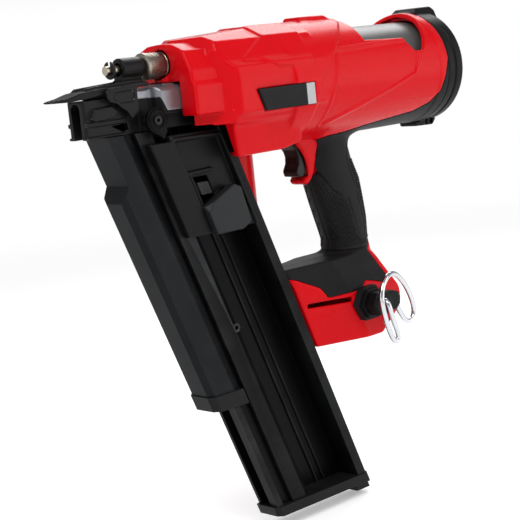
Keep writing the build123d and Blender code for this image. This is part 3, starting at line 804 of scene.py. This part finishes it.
@dataclass
class Housing:
    """Red moulded shell in two halves, with the rubber skin on it. Sizes in millimetres."""

    step: float = 0.8
    wall: float = 3.0
    skin: float = 1.5
    parting: float = 0.1
    barrel: float = 44.6
    rear: float = 344.0
    foot_front: float = 114.5
    foot_half: tuple = (15.6, 31.0)
    handle_power: float = 2.3
    dot_pitch: float = 1.9

    def outer(self, grid: Mould) -> np.ndarray:
        """Form the housing without the handle and the foot.

        Args:
            grid: Grid to form it on.

        Returns:
            Distances to its outside.
        """
        flank = grid.folded()
        meet, join = Mould.meet, Mould.join
        snout = flank.outline("yz", [
            (-1, 39), (13, 38), (25, 33), (32, 19), (33, 12), (35, 8), (35, -12), (-1, -12)])
        snout = meet(meet(snout, 78.0 - grid.x, 1.5), grid.x - 118)
        snout = meet(snout, flank.plane((78, 24, 37), (-1.0, 0.42, 0.5)), 0.8)
        snout = meet(snout, flank.plane((78, 35.5, 0), (-1.0, 0.9, 0.0)), 0.5)
        trunk = flank.outline("yz", [
            (-1, 44.6), (13, 44.6), (30, 37.2), (38, 23), (43.2, 18), (44, 10), (44, -14), (37, -21),
            (-1, -21)])
        trunk = meet(trunk, flank.plane((104, 35.5, 0), (-1.0, 0.95, 0.0)), 0.8)
        trunk = meet(trunk, flank.plane((104, 30, 37.4), (-0.75, 0.45, 0.5)), 0.8)
        trunk = meet(trunk, grid.x - 200)
        trunk = meet(trunk, grid.plane((160, 0, 45), (-0.06, 0, 1.0)), 0.5)
        raised = grid.outline("xz", [
            (151, 60), (149, 37.6), (120, 22.6), (137, 21.6), (153, 15), (188, 14), (188, 60)])
        trunk = join(trunk, meet(trunk - 1.4, raised, 0.8), 0.4)
        barrel = meet(grid.rod("x", (0, 0), self.barrel), grid.slab("x", 164, self.rear))
        bulge = meet(grid.rod("x", (0, 0), 46.4), grid.slab("x", 166, 262))
        bulge = meet(bulge, flank.plane((166, 46, 0), (-0.8, 0.6, 0.0)), 2.5)
        bulge = meet(bulge, grid.outline("xz", [
            (150, 60), (256, 60), (253, 45), (238, 38), (214, 20), (193, 2), (186, -30), (184, -60),
            (150, -60)]), 1.5)
        gear = grid.outline("xz", [
            (106, -12), (198, -12), (190, -32), (178, -42.5), (160, -45.8), (116, -45.8)])
        gear = meet(gear, flank.outline("yz", [
            (-1, 0), (41, 0), (40, -20), (36, -24), (31, -46), (-1, -46)]), 1.5)
        gear = meet(gear, flank.plane((178, 34, -24), (0.75, 0.66, 0)), 1.0)
        column = meet(grid.rod("z", (161, 35), 22.0), grid.slab("z", -128, -16), 3.0)
        collar = meet(grid.rod("x", (0, 24.6), 13.6), grid.slab("x", 81, 112), 1.2)
        boss = flank.outline("yz", [(-1, 49.4), (8.5, 49.4), (11.5, 45), (14, 30), (-1, 30)])
        boss = meet(boss, grid.outline("xz", [
            (212, 30), (213.5, 49.6), (240, 49.6), (251, 41), (254, 30)]), 0.8)
        dent = grid.box((206, 224), (-30, -7.5), (46.0, 60))
        form = join(join(snout, trunk), barrel, 1.0)
        form = join(join(form, bulge, 0.8), gear, 1.2)
        form = join(join(form, column, 2.0), collar, 0.8)
        form = join(form, np.maximum(boss, -dent), 1.2)
        flange = meet(grid.rod("x", (0, 0), 45.2), grid.slab("x", 334, self.rear))
        panel = flank.outline("xz", [(218, 21), (304, 23.6), (309.3, 14.2), (301.5, -2.2), (201, -32.5)])
        reach = np.sqrt(grid.y ** 2 + grid.z ** 2)
        panel = np.maximum(panel, 25.0 - flank.y)
        ridge = meet(np.maximum(abs(panel - 1.0) - 1.3, 25.0 - flank.y), reach - self.barrel - 0.7, 0.3)
        form = join(form, np.maximum(ridge, 40.0 - reach), 0.4)
        form = meet(form, -np.maximum(panel, self.barrel - 0.9 - reach), 0.3)
        return join(form, flange, 0.6)

    def handle(self, grid: Mould, inset: float) -> np.ndarray:
        """Form the handle from its rounded sections.

        Args:
            grid: Grid to form it on.
            inset: How far its sides are drawn in.

        Returns:
            Distances to its outside.
        """
        levels = np.array([
            (-146, 250, 26, 21), (-139, 250, 20.5, 17.6), (-126, 249.5, 18.6, 16.4),
            (-112, 247.5, 21.3, 16.8), (-96, 244, 23.2, 17), (-80, 240.5, 24.2, 17.3),
            (-66, 235.6, 22.8, 17.4), (-54, 233.8, 21, 17.6), (-46, 234, 22.5, 17.8),
            (-40, 238, 30, 18.5)], float)  # height, centre x, half length, half width
        centre, half_x, half_y = [
            np.interp(grid.z, levels[:, 0], levels[:, i]).astype(np.float32) for i in (1, 2, 3)]
        u, v = (grid.x - centre) / (half_x - inset), grid.y / (half_y - inset)
        power = self.handle_power
        reach = (np.abs(u) ** power + np.abs(v) ** power) ** np.float32(1 / power)
        return Mould.meet((reach - 1) * (half_y - inset), grid.slab("z", -150, -30))

    def spread(self, grid: Mould) -> np.ndarray:
        """Half width of the foot, narrow at the magazine."""
        low, high = self.foot_half
        return np.clip(low + (grid.x + grid.z * SLOPE - self.foot_front) * 0.36, low, high)

    def foot(self, grid: Mould) -> np.ndarray:
        """Form the battery foot, with sides that lean in above its brow.

        Args:
            grid: Grid to form it on.

        Returns:
            Distances to its outside.
        """
        side = grid.outline("xz", [
            (150, -139), (252, -137), (260, -141), (267, -151), (276, -170), (277, -176), (270, -190),
            (252, -203.5), (150, -203.5)])
        side = np.maximum(side, self.foot_front - (grid.x + grid.z * SLOPE))
        spread = self.spread(grid)
        side = Mould.meet(side, (abs(grid.y) - spread) * 0.94, 1.5)
        brow = np.interp(grid.x, [160, 200, 232, 262], [-146, -159, -163, -166]).astype(np.float32)
        return Mould.meet(side, (abs(grid.y) - spread + 1.0 + (grid.z - brow) * 0.42) * 0.88, 1.5)

    def guard(self, grid: Mould) -> np.ndarray:
        """Form the frame round the trigger.

        Args:
            grid: Grid to form it on.

        Returns:
            Distances to its outside.
        """
        outline = [
            (220, -40), (194, -40), (195, -46), (199.5, -51), (203, -57), (204.8, -63), (205.4, -69),
            (204.6, -72.6), (202.4, -74), (202, -76), (203.6, -78), (207, -78.4), (210.5, -75), (213, -69),
            (214.5, -61), (216, -52), (219, -45)]
        half = np.interp(grid.z, [-78, -70, -58, -46], [8.0, 10.0, 11.0, 12.0]).astype(np.float32)
        return Mould.meet(grid.outline("xz", outline), abs(grid.y) - half, 2.5)

    def rooms(self, grid: Mould) -> None:
        """Cut the openings that other parts stand or move in.

        Args:
            grid: Grid whose form they are cut from.
        """
        magazine, pusher_way = ((-6, 112.3), (-15.5, 13), (-215, -9)), ((33, 104.5), (-27, -12), (-215, -20))
        for leaning in (magazine, pusher_way):
            grid.cut(grid.lean(*leaning))
        window = [(255, 60), (255, 27), (299, 25.5), (308, 14.5), (316, 14), (324, 24), (338, 46), (338, 60)]
        grid.cut(np.maximum(grid.outline("xz", window), -(grid.rod("x", (0, 0), 36.0))), 0.6)
        grid.cut(Mould.meet(grid.rod("x", (0, 0), 38.6), grid.slab("x", 184, 346)))
        trigger_room = ((186, 217), (-8.8, 8.8), (-72, -36))
        nose_room = ((60, 90), (-18.3, 18.3), (-22, 12.2))
        blade_way = ((60, 200), (-7.5, 7.5), (-4.5, 4.5))
        nose_below = ((60, 124), (-13, 13), (-60, -8))
        for room in (trigger_room, nose_room, blade_way, nose_below):
            grid.cut(grid.box(*room))
        grid.cut(Mould.meet(grid.rod("x", (0, 24.6), 10.4), grid.slab("x", 60, 126)))
        spread = self.spread(grid)
        battery_bay = np.maximum(grid.box((205, 290), (-25, 25), (-206, -188)), abs(grid.y) - spread + 4.0)
        grid.cut(battery_bay)
        slot = grid.outline("xz", [(184, -167.4), (221, -168.2), (221, -172.0), (184, -171.2)])
        grid.cut(np.maximum(slot, grid.y + spread - 8.0))
        hollow = grid.outline("xz", [(170, -160), (186, -175.5), (187.5, -182), (172, -181.5)])
        grid.cut(np.maximum(hollow, grid.y + 17.5), 0.6)
        vents = grid.outline("xz", [(127.4, 1.2), (185.4, 1.2), (185.4, -15.2), (133.9, -15.2)])
        grid.cut(np.maximum(abs(abs(grid.y) - 46.0) - 4.6, vents))

    def build(self) -> None:
        """Make both halves, the rubber parts and the raised grip texture."""
        grid = Mould((74, -50, -209), (349, 61, 54), pitch(self.step))
        shell, handle = self.outer(grid), self.handle(grid, 0.0)
        foot, guard = self.foot(grid), self.guard(grid)
        whole = Mould.join(Mould.join(shell, handle, 9.0), foot, 6.0)
        grid.value = Mould.join(whole, guard, 2.0)
        grid.soften(0.62)
        whole = grid.value
        inner = np.minimum(Mould.join(shell, foot, 3.0) + self.wall, handle + self.wall + 2.5)
        rubber = np.minimum(self.belly(grid), self.sleeve(grid))
        rubber = np.maximum(rubber, -(guard - 0.4))
        seam = np.maximum(abs(grid.z + 134.5) - 0.45, handle - 3)
        crease = np.minimum(self.grip_line(grid), seam)
        grid.value = np.maximum(whole, -inner)
        self.rooms(grid)
        open_shell = grid.value
        red = np.maximum(open_shell, -np.maximum(rubber, -whole - 1.6))
        skin = np.maximum(np.maximum(whole, rubber + 0.2), -whole - self.skin)
        skin = np.maximum(skin, -np.maximum(crease, -whole - 0.7))
        grid.value = skin
        self.rooms(grid)
        skin = grid.value
        for side, sign in (("left", -1.0), ("right", 1.0)):
            grid.value = np.maximum(red, self.parting - sign * grid.y)
            place(grid.cast(f"shell_{side}", Look.RED, 0.32, 42.0), "frame", "red_shell", f"housing_{side}")
            grid.value = np.maximum(skin, self.parting - sign * grid.y)
            names = [f"grip_{side}"] + (["belly_skin"] if side == "left" else [])
            made = place(grid.cast(f"rubber_{side}", Look.RUBBER, 0.6, 42.0), "frame", "grip_rubber", *names)
            self.texture(made, side, sign)

    def grip_line(self, grid: Mould) -> np.ndarray:
        """Form the narrow grooves that part the smooth and the textured rubber.

        Args:
            grid: Grid to form them on.

        Returns:
            Distances to the grooves.
        """
        panel = [
            (180, -60), (208, -62), (214, -66), (227, -86), (241, -95), (249, -123), (256, -131), (258, -123),
            (254, -100), (247, -78), (243, -66), (243, -56), (248, -50), (290, -48), (290, -134), (180, -134)]
        edge = np.maximum(abs(grid.outline("xz", panel)) - 0.5, grid.slab("z", -133, -50))
        return np.maximum(edge, self.handle(grid, 3.0) * -1)

    def texture(self, made: bpy.types.Object, side: str, sign: float) -> None:
        """Set small pyramids on the textured rubber.

        Args:
            made: The rubber piece.
            side: Its side.
            sign: Direction of that side along Y.
        """
        line = ([-133, -131, -123, -95, -86, -66], [262, 256, 249, 241, 227, 212.5])
        back = ([-133, -123, -100, -78, -66, -52], [262, 260, 256, 249, 245, 246])
        points, facing, along = [], [], []
        for row in range(36):
            z = -131.5 + row * self.dot_pitch
            for column in range(30):
                x = 214 + column * self.dot_pitch + (row % 2) * self.dot_pitch / 2
                front = x < np.interp(z, *line) - 1.6 and z < -68
                rear = x > np.interp(z, *back) + 1.6 and z > -128
                if not (front or rear):
                    continue
                start = Vector((x * MM, sign * 0.045, z * MM))
                hit, spot, normal, _ = made.ray_cast(start, Vector((0, -sign, 0)))
                if hit and abs(normal.y) > 0.30 and abs(spot.y) > 0.005:
                    points.append(spot)
                    facing.append(normal)
                    along.append(normal.cross(Vector((0, 1, 0.01))).normalized())
        if points:
            dots = Scatter(f"grip_texture_{side}", Motif.PYRAMID, 0.0017, 0.0017, 0.0007).build(
                points, facing, along, Look.RUBBER)
            place(dots, "frame", "grip_rubber")

    def belly(self, grid: Mould) -> np.ndarray:
        """Form the space of the rubber under the barrel.

        Args:
            grid: Grid to form it on.

        Returns:
            Distances to that space.
        """
        outline = [
            (212, -46), (222, -42.6), (240, -41.2), (262, -38.6), (286, -36), (312, -33.4), (328, -28),
            (336, -20), (339.5, -8), (343, 4), (350, 4), (350, -60), (212, -60)]
        return np.maximum(grid.outline("xz", outline), grid.slab("x", 212, 346))

    def sleeve(self, grid: Mould) -> np.ndarray:
        """Form the space of the rubber on the handle and the top of the foot.

        Args:
            grid: Grid to form it on.

        Returns:
            Distances to that space.
        """
        return grid.outline("xz", [
            (206, -46), (222, -42.6), (240, -41.2), (262, -38.6), (290, -36), (290, -128), (270, -129),
            (255.5, -138), (259, -146), (264.5, -156), (267.5, -163), (258, -163.5), (247, -160.5),
            (240, -159), (232, -164), (201, -165.6), (195, -157), (176, -147.5), (150, -141), (150, -130),
            (206, -130)])


@dataclass
class RearCap:
    """Black ring behind the barrel, with a lug above and a rest below. Sizes in millimetres."""

    radius: float = 44.9
    front: float = 344.15
    rear: float = 363.0
    lug_length: float = 19.5
    bore: float = 39.05

    def build(self) -> None:
        """Make the ring."""
        grid = Mould((322, -49, -52), (380, 49, 51), pitch(0.7))
        ring = Mould.meet(grid.rod("x", (0, 0), self.radius), grid.slab("x", self.front, self.rear), 1.5)
        lug = grid.outline("xz", [
            (344, 43.8), (349, 48.3), (367, 48.6), (370.8, 45.5), (370.8, 37), (344, 37)])
        half = np.interp(grid.z, [36, 48], [17, 12]).astype(np.float32)
        lug = Mould.meet(lug, abs(grid.y) - half, 1.5)
        lug = np.maximum(lug, self.rear - grid.x - self.lug_length)
        rest = Mould.meet(grid.outline("xz", [
            (338.2, -42), (340, -48.5), (362, -49.3), (366, -45), (366, -40), (338.2, -40)]),
            abs(grid.y) - 9.0, 1.0)
        form = Mould.join(Mould.join(ring, lug, 1.5), rest, 1.0)
        form = np.maximum(form, -np.maximum(grid.x - self.front, grid.rod("x", (0, 0), 45.4)))
        tube = Mould.meet(grid.rod("x", (0, 0), self.bore), grid.slab("x", 320, 390))
        groove = np.maximum(abs(grid.x - 353.5) - 0.9, 43.4 - np.sqrt(grid.y ** 2 + grid.z ** 2))
        grid.value = form
        grid.cut(tube, 0.8)
        grid.cut(np.maximum(groove, grid.z - 30), 0.3)
        eye = np.maximum(abs(grid.z + 45.6) - 2.4, abs(grid.x - 360) - 1.6)
        grid.cut(np.maximum(eye, abs(grid.y) - 12))
        grid.soften(0.5)
        grid.cut(np.maximum(grid.x - self.front, grid.rod("x", (0, 0), 45.3)))
        grid.cut(grid.rod("x", (0, 0), self.bore))
        place(grid.cast("rear_ring", Look.BLACK, 0.8), "frame", "cap_black", "rear_cap_ring")


@dataclass
class NoseFrame:
    """Cast frame between the housing and the nose, and the ears that hang on it. Sizes in millimetres."""

    bright: tuple = ((40, 20), (120, 20), (120, -6.5), (66, -6.5), (61, 3), (40, 3.5))
    pin: tuple = (52.5, -12)

    def build(self) -> None:
        """Make the frame in a bright upper and a painted lower part, and both ears."""
        grid = Mould((41.5, -24, -27), (114, 24, 14), pitch(0.5))
        flank = grid.folded()
        meet, join = Mould.meet, Mould.join
        form = grid.box((58, 98), (-17.8, 17.8), (-9, 10.5))
        form = meet(form, flank.plane((58, 12, 0), (-1, 0.55, 0)), 1.5)
        form = meet(form, flank.plane((58, 14, 10.5), (0, 0.8, 1.0)), 1.0)
        form = join(form, grid.box((46, 104), (-9.5, 9.5), (-19.3, 9)), 1.5)
        form = join(form, grid.box((70, 111.5), (-11, 11), (-9, 11.8)), 1.0)
        grid.value = form
        grid.soften(0.3)
        grid.cut(grid.rod("x", (0, 0), NAIL_BORE))
        grid.cut(grid.box((40, 106), (-NAIL_SLOT, NAIL_SLOT), (-30, 0)))
        grid.cut(grid.rod("y", self.pin, 3.2))
        whole = grid.value
        bare = grid.outline("xz", list(self.bright))
        grid.value = np.maximum(whole, bare)
        place(grid.cast("nose_frame_bright", Look.CAST, 0.5), "frame", "cast_alloy", "nose_casting")
        grid.value = np.maximum(whole, -bare)
        place(grid.cast("nose_frame_painted", Look.BLACK, 0.5), "frame", "cast_alloy")
        tail = flank.outline("xz", [(48, -14), (58, -14), (61, -20), (57, -25.5), (50, -20)])
        eye = join(grid.rod("y", self.pin, 9.0), tail, 3.0)
        ears = meet(meet(eye, flank.slab("y", 18.0, 21.6), 0.7), grid.slab("x", 42.5, 63))
        rim = np.maximum(abs(grid.rod("y", self.pin, 6.4)) - 1.0, flank.slab("y", 20, 22.3))
        grid.value = join(ears, rim, 0.4)
        grid.soften(0.25)
        grid.cut(grid.rod("y", self.pin, 3.15))
        place(grid.cast("magazine_ear_pair", Look.MAGAZINE, 0.5), "frame", "magazine_black", "magazine_ears")


@dataclass
class Contact:
    """Workpiece contact with its toothed plate, wings and eye. Sizes in millimetres."""

    eye_z: float = 24.6

    def build(self) -> None:
        """Make the contact."""
        grid = Mould((-22, -16, -13), (60, 16, 34), pitch(0.42))
        flank = grid.folded()
        meet, join = Mould.meet, Mould.join
        plate = grid.outline("xz", [
            (-21, 8.4), (-10, 9.8), (0, 12.2), (12, 13.4), (56, 15), (56, 11.6), (34, 11.6), (2, 7.5),
            (-10, 6.9), (-21, 7.2)])
        width = np.interp(grid.x, [-21, -12, 0, 14, 30], [6.5, 8.5, 9.5, 10.5, 12.2]).astype(np.float32)
        form = meet(plate, flank.y - width, 0.4)
        ridge = meet(grid.outline("xz", [
            (2, 12), (6, 14.8), (20, 15.6), (42, 16.8), (56, 16.8), (56, 12), (2, 12)]),
            abs(flank.y - 6.0) - 1.4, 0.4)
        form = join(form, ridge, 0.6)
        wing = flank.outline("xz", [
            (17, 11), (20, 12.9), (44, 14.5), (46, 8), (44.5, -3.5), (40.5, -6.8), (36.8, -8.6), (33, -3.5),
            (29, -1), (25, 2.5), (19.5, 4), (17.5, 7)])
        wings = meet(wing, flank.slab("y", 12.6, 15), 0.5)
        dent = flank.outline("xz", [(22, 6), (25, 9.6), (38, 10.6), (40.5, 8), (39, 2.5), (28, 2.5)])
        dent = meet(dent, 14.2 - flank.y)
        form = join(form, meet(wings, -dent, 0.4), 0.5)
        shoulder = grid.box((20, 42.8), (-15, 15), (10.4, 13.4))
        shoulder = meet(shoulder, flank.plane((30, 15, 12.4), (0, 0.7, 0.7)), 0.8)
        form = join(form, shoulder, 0.8)
        neck = grid.box((40, 56), (-5, 5), (13, self.eye_z))
        sleeve = meet(grid.rod("x", (0, self.eye_z), 7.6), grid.slab("x", 40, 58), 1.0)
        form = join(join(form, neck, 2.0), sleeve, 1.0)
        grid.value = form
        grid.soften(0.25)
        for side in (-5.4, 0, 5.4):
            grid.cut(grid.box((-23, -13), (side - 1, side + 1), (0, 12)))
        grid.cut(grid.box((-1, 61), (-12.5, 12.5), (-30, 7.4)))
        grid.cut(grid.box((43, 61), (-20, 20), (-30, 11)))
        grid.cut(grid.rod("x", (0, self.eye_z), 4.55))
        place(grid.cast("contact_body", Look.PHOSPHATE, 0.5, 42.0), "contact", "black_steel", "contact_arm")


@dataclass
class NoseGuide:
    """Steel guide that the nail leaves through. Sizes in millimetres."""

    def build(self) -> None:
        """Make the guide with its side pads, prongs and window."""
        grid = Mould((-1.5, -13, -30), (47, 13, 8), pitch(0.42))
        flank = grid.folded()
        meet, join = Mould.meet, Mould.join
        form = grid.box((0, 46), (-9, 9), (MAGAZINE_TOP, 6.5))
        form = meet(form, flank.plane((0, 7.6, 0), (-1, 1, 0)), 0.5)
        pad = flank.outline("xz", [(3.5, -6), (7.5, 0.5), (23, 1.2), (27.5, -3), (24, -7), (8, -8)])
        form = join(form, meet(pad, flank.slab("y", 8, 12), 1.2), 0.5)
        form = join(form, grid.box((0, 33), (-10.2, 10.2), (MAGAZINE_TOP, -17.8)), 0.5)
        lip = np.maximum(abs(grid.slab("z", -10.5, -9.0)) - 0.6, flank.slab("y", 8, 10.2))
        lip = np.maximum(lip, grid.slab("x", 0, 34))
        grid.value = join(form, lip, 0.4)
        grid.soften(0.25)
        grid.cut(grid.rod("x", (0, 0), NAIL_BORE))
        grid.cut(grid.box((-5, 106), (-NAIL_SLOT, NAIL_SLOT), (-30, 0)))
        slot = grid.outline("xz", [(22, -12.5), (36, -11.5), (37, -16), (32, -17.2)])
        grid.cut(np.maximum(np.maximum(slot, 4.0 - flank.y), grid.y), 0.3)
        place(grid.cast("nose_guide_body", Look.PHOSPHATE, 0.5, 42.0), "frame", "black_steel", "nose_guide")


@dataclass
class Trigger:
    """Finger trigger with a hollowed front. Sizes in millimetres."""

    half: float = 7.8

    def build(self) -> None:
        """Make the trigger."""
        grid = Mould((190, -10, -76), (211, 10, -40), 0.4)
        outline = [
            (194.0, -46), (197.2, -50.5), (199.0, -56), (198.6, -61), (196.2, -65), (195.3, -67.2),
            (196.6, -70.9), (201.5, -71.8), (204.6, -69.4), (206.4, -64), (205.6, -56), (203.6, -50.4),
            (206, -46), (204, -43.6), (199, -43.4)]
        grid.value = Mould.meet(grid.outline("xz", outline), abs(grid.y) - self.half, 1.2)
        hollow = grid.outline("xz", [(190, -50), (197.4, -53), (198.2, -60), (190, -65)])
        grid.cut(Mould.meet(hollow, abs(grid.y) - 5.6, 0.8), 0.5)
        grid.soften(0.3)
        grid.cut(grid.rod("y", (203, -47), 1.6))
        place(grid.cast("trigger_blade", Look.TRIGGER, 0.7), "trigger", "trigger_black", "trigger")


@dataclass
class Pusher:
    """Nail pusher with its recessed plate, window and thumb pad. Sizes in millimetres."""

    def build(self) -> None:
        """Make the pusher and its pad."""
        grid = Mould((38, -27, -103), (146, 4.5, -20), pitch(0.5))
        plate = grid.lean((52.5, 102), (-17.5, -12), (-97, -24))
        front = grid.lean((34, 54), (-20, -13.2), (-97, -28))
        front = Mould.meet(front, grid.plane((46, -20, -30), (-0.75, -0.66, 0.0)), 0.4)
        front_rim, rear_rim = ((53, 56.4), (-20, -5.3), (-97, -24)), ((99.6, 102), (-20, -5.3), (-97, -22))
        top_rim = ((53, 102), (-20, -12), (-28.5, -26))
        upper_foot, lower_foot = ((60, 98), (-12.4, 3), (-40, -30)), ((60, 98), (-12.4, 3), (-94, -84))
        grid.value = np.minimum(plate, front)
        for block in (front_rim, rear_rim, top_rim, upper_foot, lower_foot):
            grid.add(grid.lean(*block))
        grid.cut(grid.lean((58.5, 76), (-18.5, -11), (-79, -56)))
        window = grid.lean((79, 97), (-18.5, -16.2), (-74, -58))
        grid.cut(np.maximum(window, grid.plane((110, 0, -64), (0.45, 0, 1))))
        grid.cut(grid.lean((56.6, 99.4), (-30, -14.7), (-72, -29.5)), 0.3)
        frame_bar = grid.lean((57.5, 60), (-18.6, -12), (-82, -53))
        ramp = grid.outline("xz", [(84, -81), (108, -68), (109, -70), (86, -84)])
        shelf = grid.outline("xz", [(70, -51.5), (102, -50.5), (102, -53), (70, -54)])
        for extra in (frame_bar, np.maximum(ramp, grid.slab("y", -19.6, -12)),
                      np.maximum(shelf, grid.slab("y", -18.4, -12))):
            grid.add(extra)
        grid.soften(0.35)
        place(grid.cast("pusher_slide_body", Look.BLACK, 0.5), "pusher", "pusher_black", "pusher_body")
        pad = grid.outline("xz", [
            (82, -79.5), (114, -64.5), (120.5, -67), (127.5, -93), (119.5, -98.3), (85, -98.3)])
        pad = Mould.meet(pad, grid.slab("y", -25, -17.6), 0.4)
        pad = np.maximum(pad, grid.lean((56.6, 101.8), (-26, -15), (-100, -60)))
        pad = Mould.meet(pad, grid.plane((100, -25, -97), (0.0, -0.7, -0.7)), 0.5)
        pad = Mould.meet(pad, grid.plane((88, -24, -80), (-0.62, -0.62, 0.45)), 0.5)
        grid.value = pad
        grid.soften(0.35)
        place(grid.cast("pusher_thumb_pad", Look.PAD, 0.4), "pusher", "pusher_black", "pusher_pad")


@dataclass
class RafterHook:
    """Wire hook swept along its bent line by Geometry Nodes, with its swivel. Sizes in millimetres."""

    radius: float = 2.1
    pivot: tuple = (234.0, -175.0)

    def swivel(self) -> None:
        """Make the block that turns on the boss."""
        grid = Mould((222, -51, -187), (258, -31, -163), pitch(0.45))
        meet = Mould.meet
        angles = [math.radians(60 * side) for side in range(6)]
        x, z = self.pivot
        six = [(x + 10.5 * math.cos(turn), z + 10.5 * math.sin(turn)) for turn in angles]
        cap = meet(grid.outline("xz", six), grid.slab("y", -49.4, -40.4), 1.0)
        arm = grid.outline("xz", [
            (236, -167.5), (247, -166.8), (253.6, -168.8), (256, -173), (255, -179), (250.5, -183),
            (236, -182.6)])
        cap = Mould.join(cap, meet(arm, grid.slab("y", -49.2, -42.0), 2.0), 1.0)
        groove = np.maximum(abs(grid.y + 46.6) - 0.5, -(cap + 0.9))
        grid.value = np.maximum(cap, -np.maximum(groove, x + 6 - grid.x))
        grid.add(np.maximum(grid.rod("y", self.pivot, 2.94), grid.slab("y", -41, -32)))
        grid.soften(0.25)
        place(grid.cast("hook_turning_block", Look.BLACK, 0.5), "hook", "cap_black", "hook_swivel")

    def build(self) -> None:
        """Make the swivel and the wire."""
        self.swivel()
        line = [
            (240, -45.5, -176), (233, -50, -172), (230.5, -57, -171), (232, -58, -181), (236, -58, -193),
            (240, -57.5, -202), (237, -57, -206), (232, -57, -202), (227.3, -56.5, -187), (224.3, -56, -170),
            (228, -55, -159.5), (238, -52.5, -153.3), (248, -49.5, -153.3), (256.4, -48, -157.5),
            (266, -47, -168), (272.4, -46.5, -182), (273.2, -46.5, -192), (266.6, -46.5, -197),
            (259, -46.5, -193), (254, -46.5, -183), (250, -46.5, -175)]
        curve = bpy.data.curves.new("hook_line", "CURVE")
        curve.dimensions = "3D"
        spline = curve.splines.new("NURBS")
        spline.points.add(len(line) - 1)
        for point, spot in zip(spline.points, line):
            point.co = (*[c * MM for c in spot], 1.0)
        spline.order_u = 4
        spline.use_endpoint_u = True
        spline.resolution_u = 8
        made = linked("hook_bent_wire", curve)
        tree = bpy.data.node_groups.new("sweep_wire", "GeometryNodeTree")
        tree.interface.new_socket("Line", in_out="INPUT", socket_type="NodeSocketGeometry")
        tree.interface.new_socket("Radius", in_out="INPUT", socket_type="NodeSocketFloat")
        tree.interface.new_socket("Wire", in_out="OUTPUT", socket_type="NodeSocketGeometry")
        graph = Graph(tree)
        given = graph.node("NodeGroupInput")
        ring = graph.wire("GeometryNodeCurvePrimitiveCircle", 0, None,
                          {"Resolution": 20, "Radius": Wire(graph, given.outputs[1])})
        swept = graph.wire("GeometryNodeCurveToMesh", 0, None,
                           {0: Wire(graph, given.outputs[0]), "Profile Curve": ring, "Fill Caps": True})
        real = graph.wire("GeometryNodeRealizeInstances", 0, None, {0: swept})
        dressed = graph.wire("GeometryNodeSetMaterial", 0, None,
                             {0: real, "Material": Look.CHROME.value.material()})
        graph.node("NodeGroupOutput", None, {0: dressed})
        nodes = made.modifiers.new("sweep", "NODES")
        nodes.node_group = tree
        for item in tree.interface.items_tree:
            if item.name == "Radius":
                nodes[item.identifier] = self.radius * MM
        mesh = worked(made)
        bpy.data.objects.remove(made)
        wire = linked("hook_bent_wire", mesh)
        shade(wire, 50.0)
        log.info("hook wire: %d faces", len(mesh.polygons))
        place(wire, "hook", "wire_chrome", "hook_wire")


@dataclass
class DepthAdjuster:
    """Knurled depth knob. Sizes in millimetres."""

    radius: float = 9.0
    ridges: int = 44
    sides: int = 64
    centre_z: float = 24.6

    def build(self) -> None:
        """Turn the knob and set its ridges."""
        profile = [
            (60.5, 3.5), (60.5, 8.2), (61.2, 9.5), (63.0, 9.7), (63.4, 9.0), (77.4, 9.0), (77.8, 9.3),
            (78.8, 9.3), (79.3, 8.5), (89.4, 8.5), (90, 8.0), (90, 3.5)]
        sides = self.sides
        verts, faces = [], []
        for x, r in profile:
            for turn in np.linspace(0, 2 * math.pi, sides, endpoint=False):
                verts.append((x * MM, r * math.sin(turn) * MM, (self.centre_z + r * math.cos(turn)) * MM))
        rows = len(profile)
        for row in range(rows):
            after = (row + 1) % rows
            for side in range(sides):
                beside = (side + 1) % sides
                faces.append((row * sides + side, after * sides + side,
                              after * sides + beside, row * sides + beside))
        knob = piece_from("adjuster_knob", verts, faces, Look.KNURL, 30.0)
        work = bmesh.new()
        work.from_mesh(knob.data)
        bmesh.ops.recalc_face_normals(work, faces=work.faces)
        work.to_mesh(knob.data)
        work.free()
        shade(knob, 30.0)
        place(knob, "depth_knob", "knob_steel", "depth_knob")
        points, facing, along = [], [], []
        for ridge in range(self.ridges):
            turn = 2 * math.pi * ridge / self.ridges
            out = Vector((0, math.sin(turn), math.cos(turn)))
            for part in range(4):
                centre = Vector(((65.2 + part * 3.5) * MM, 0, self.centre_z * MM))
                points.append(centre + out * self.radius * MM)
                facing.append(out)
                along.append(Vector((1, 0, 0)))
        knurl = Scatter("knob_knurl", Motif.BAR, 0.00075, 0.0030, 0.0006)
        place(knurl.build(points, facing, along, Look.KNURL), "depth_knob", "knob_steel")


def main() -> None:
    """Build the nailer in order."""
    logging.basicConfig(level=logging.INFO, format="%(message)s")
    for part in (Studio(), Housing(), RearCap(), NoseFrame(), NoseGuide(), Contact(), Trigger(), Pusher(),
                 RafterHook(), DepthAdjuster()):
        part.build()
        log.info("%s built", type(part).__name__)
    looks = {
        "cap_black": Look.BLACK, "tank_grey": Look.TANK, "bumper_rubber": Look.BUMPER, "alloy": Look.CAST,
        "seal_polymer": Look.BLACK, "hard_steel": Look.HARD, "brass_bush": Look.BRASS,
        "motor_black": Look.PHOSPHATE, "rotor_steel": Look.HARD, "black_steel": Look.PHOSPHATE,
        "cast_alloy": Look.CAST, "bright_steel": Look.BRIGHT, "magazine_black": Look.MAGAZINE,
        "rail_black": Look.RAIL, "cover_black": Look.COVER, "pusher_black": Look.BLACK,
        # The insert_grey slot takes the painted highlight of the bumper's lit end facet.
        "trigger_black": Look.TRIGGER, "insert_grey": Look.INSERT, "board_green": Look.BOARD}
    own = {"pusher_latch": Look.PHOSPHATE, "rear_cap_plate": Look.BLACK}
    for part in frame["record"]["subparts"]:
        if not frame["nodes"][part["node"]].hide_render:
            carried(part["node"], own.get(part["node"]) or looks[part["material_slot"]])


if __name__ == "__main__":
    main()
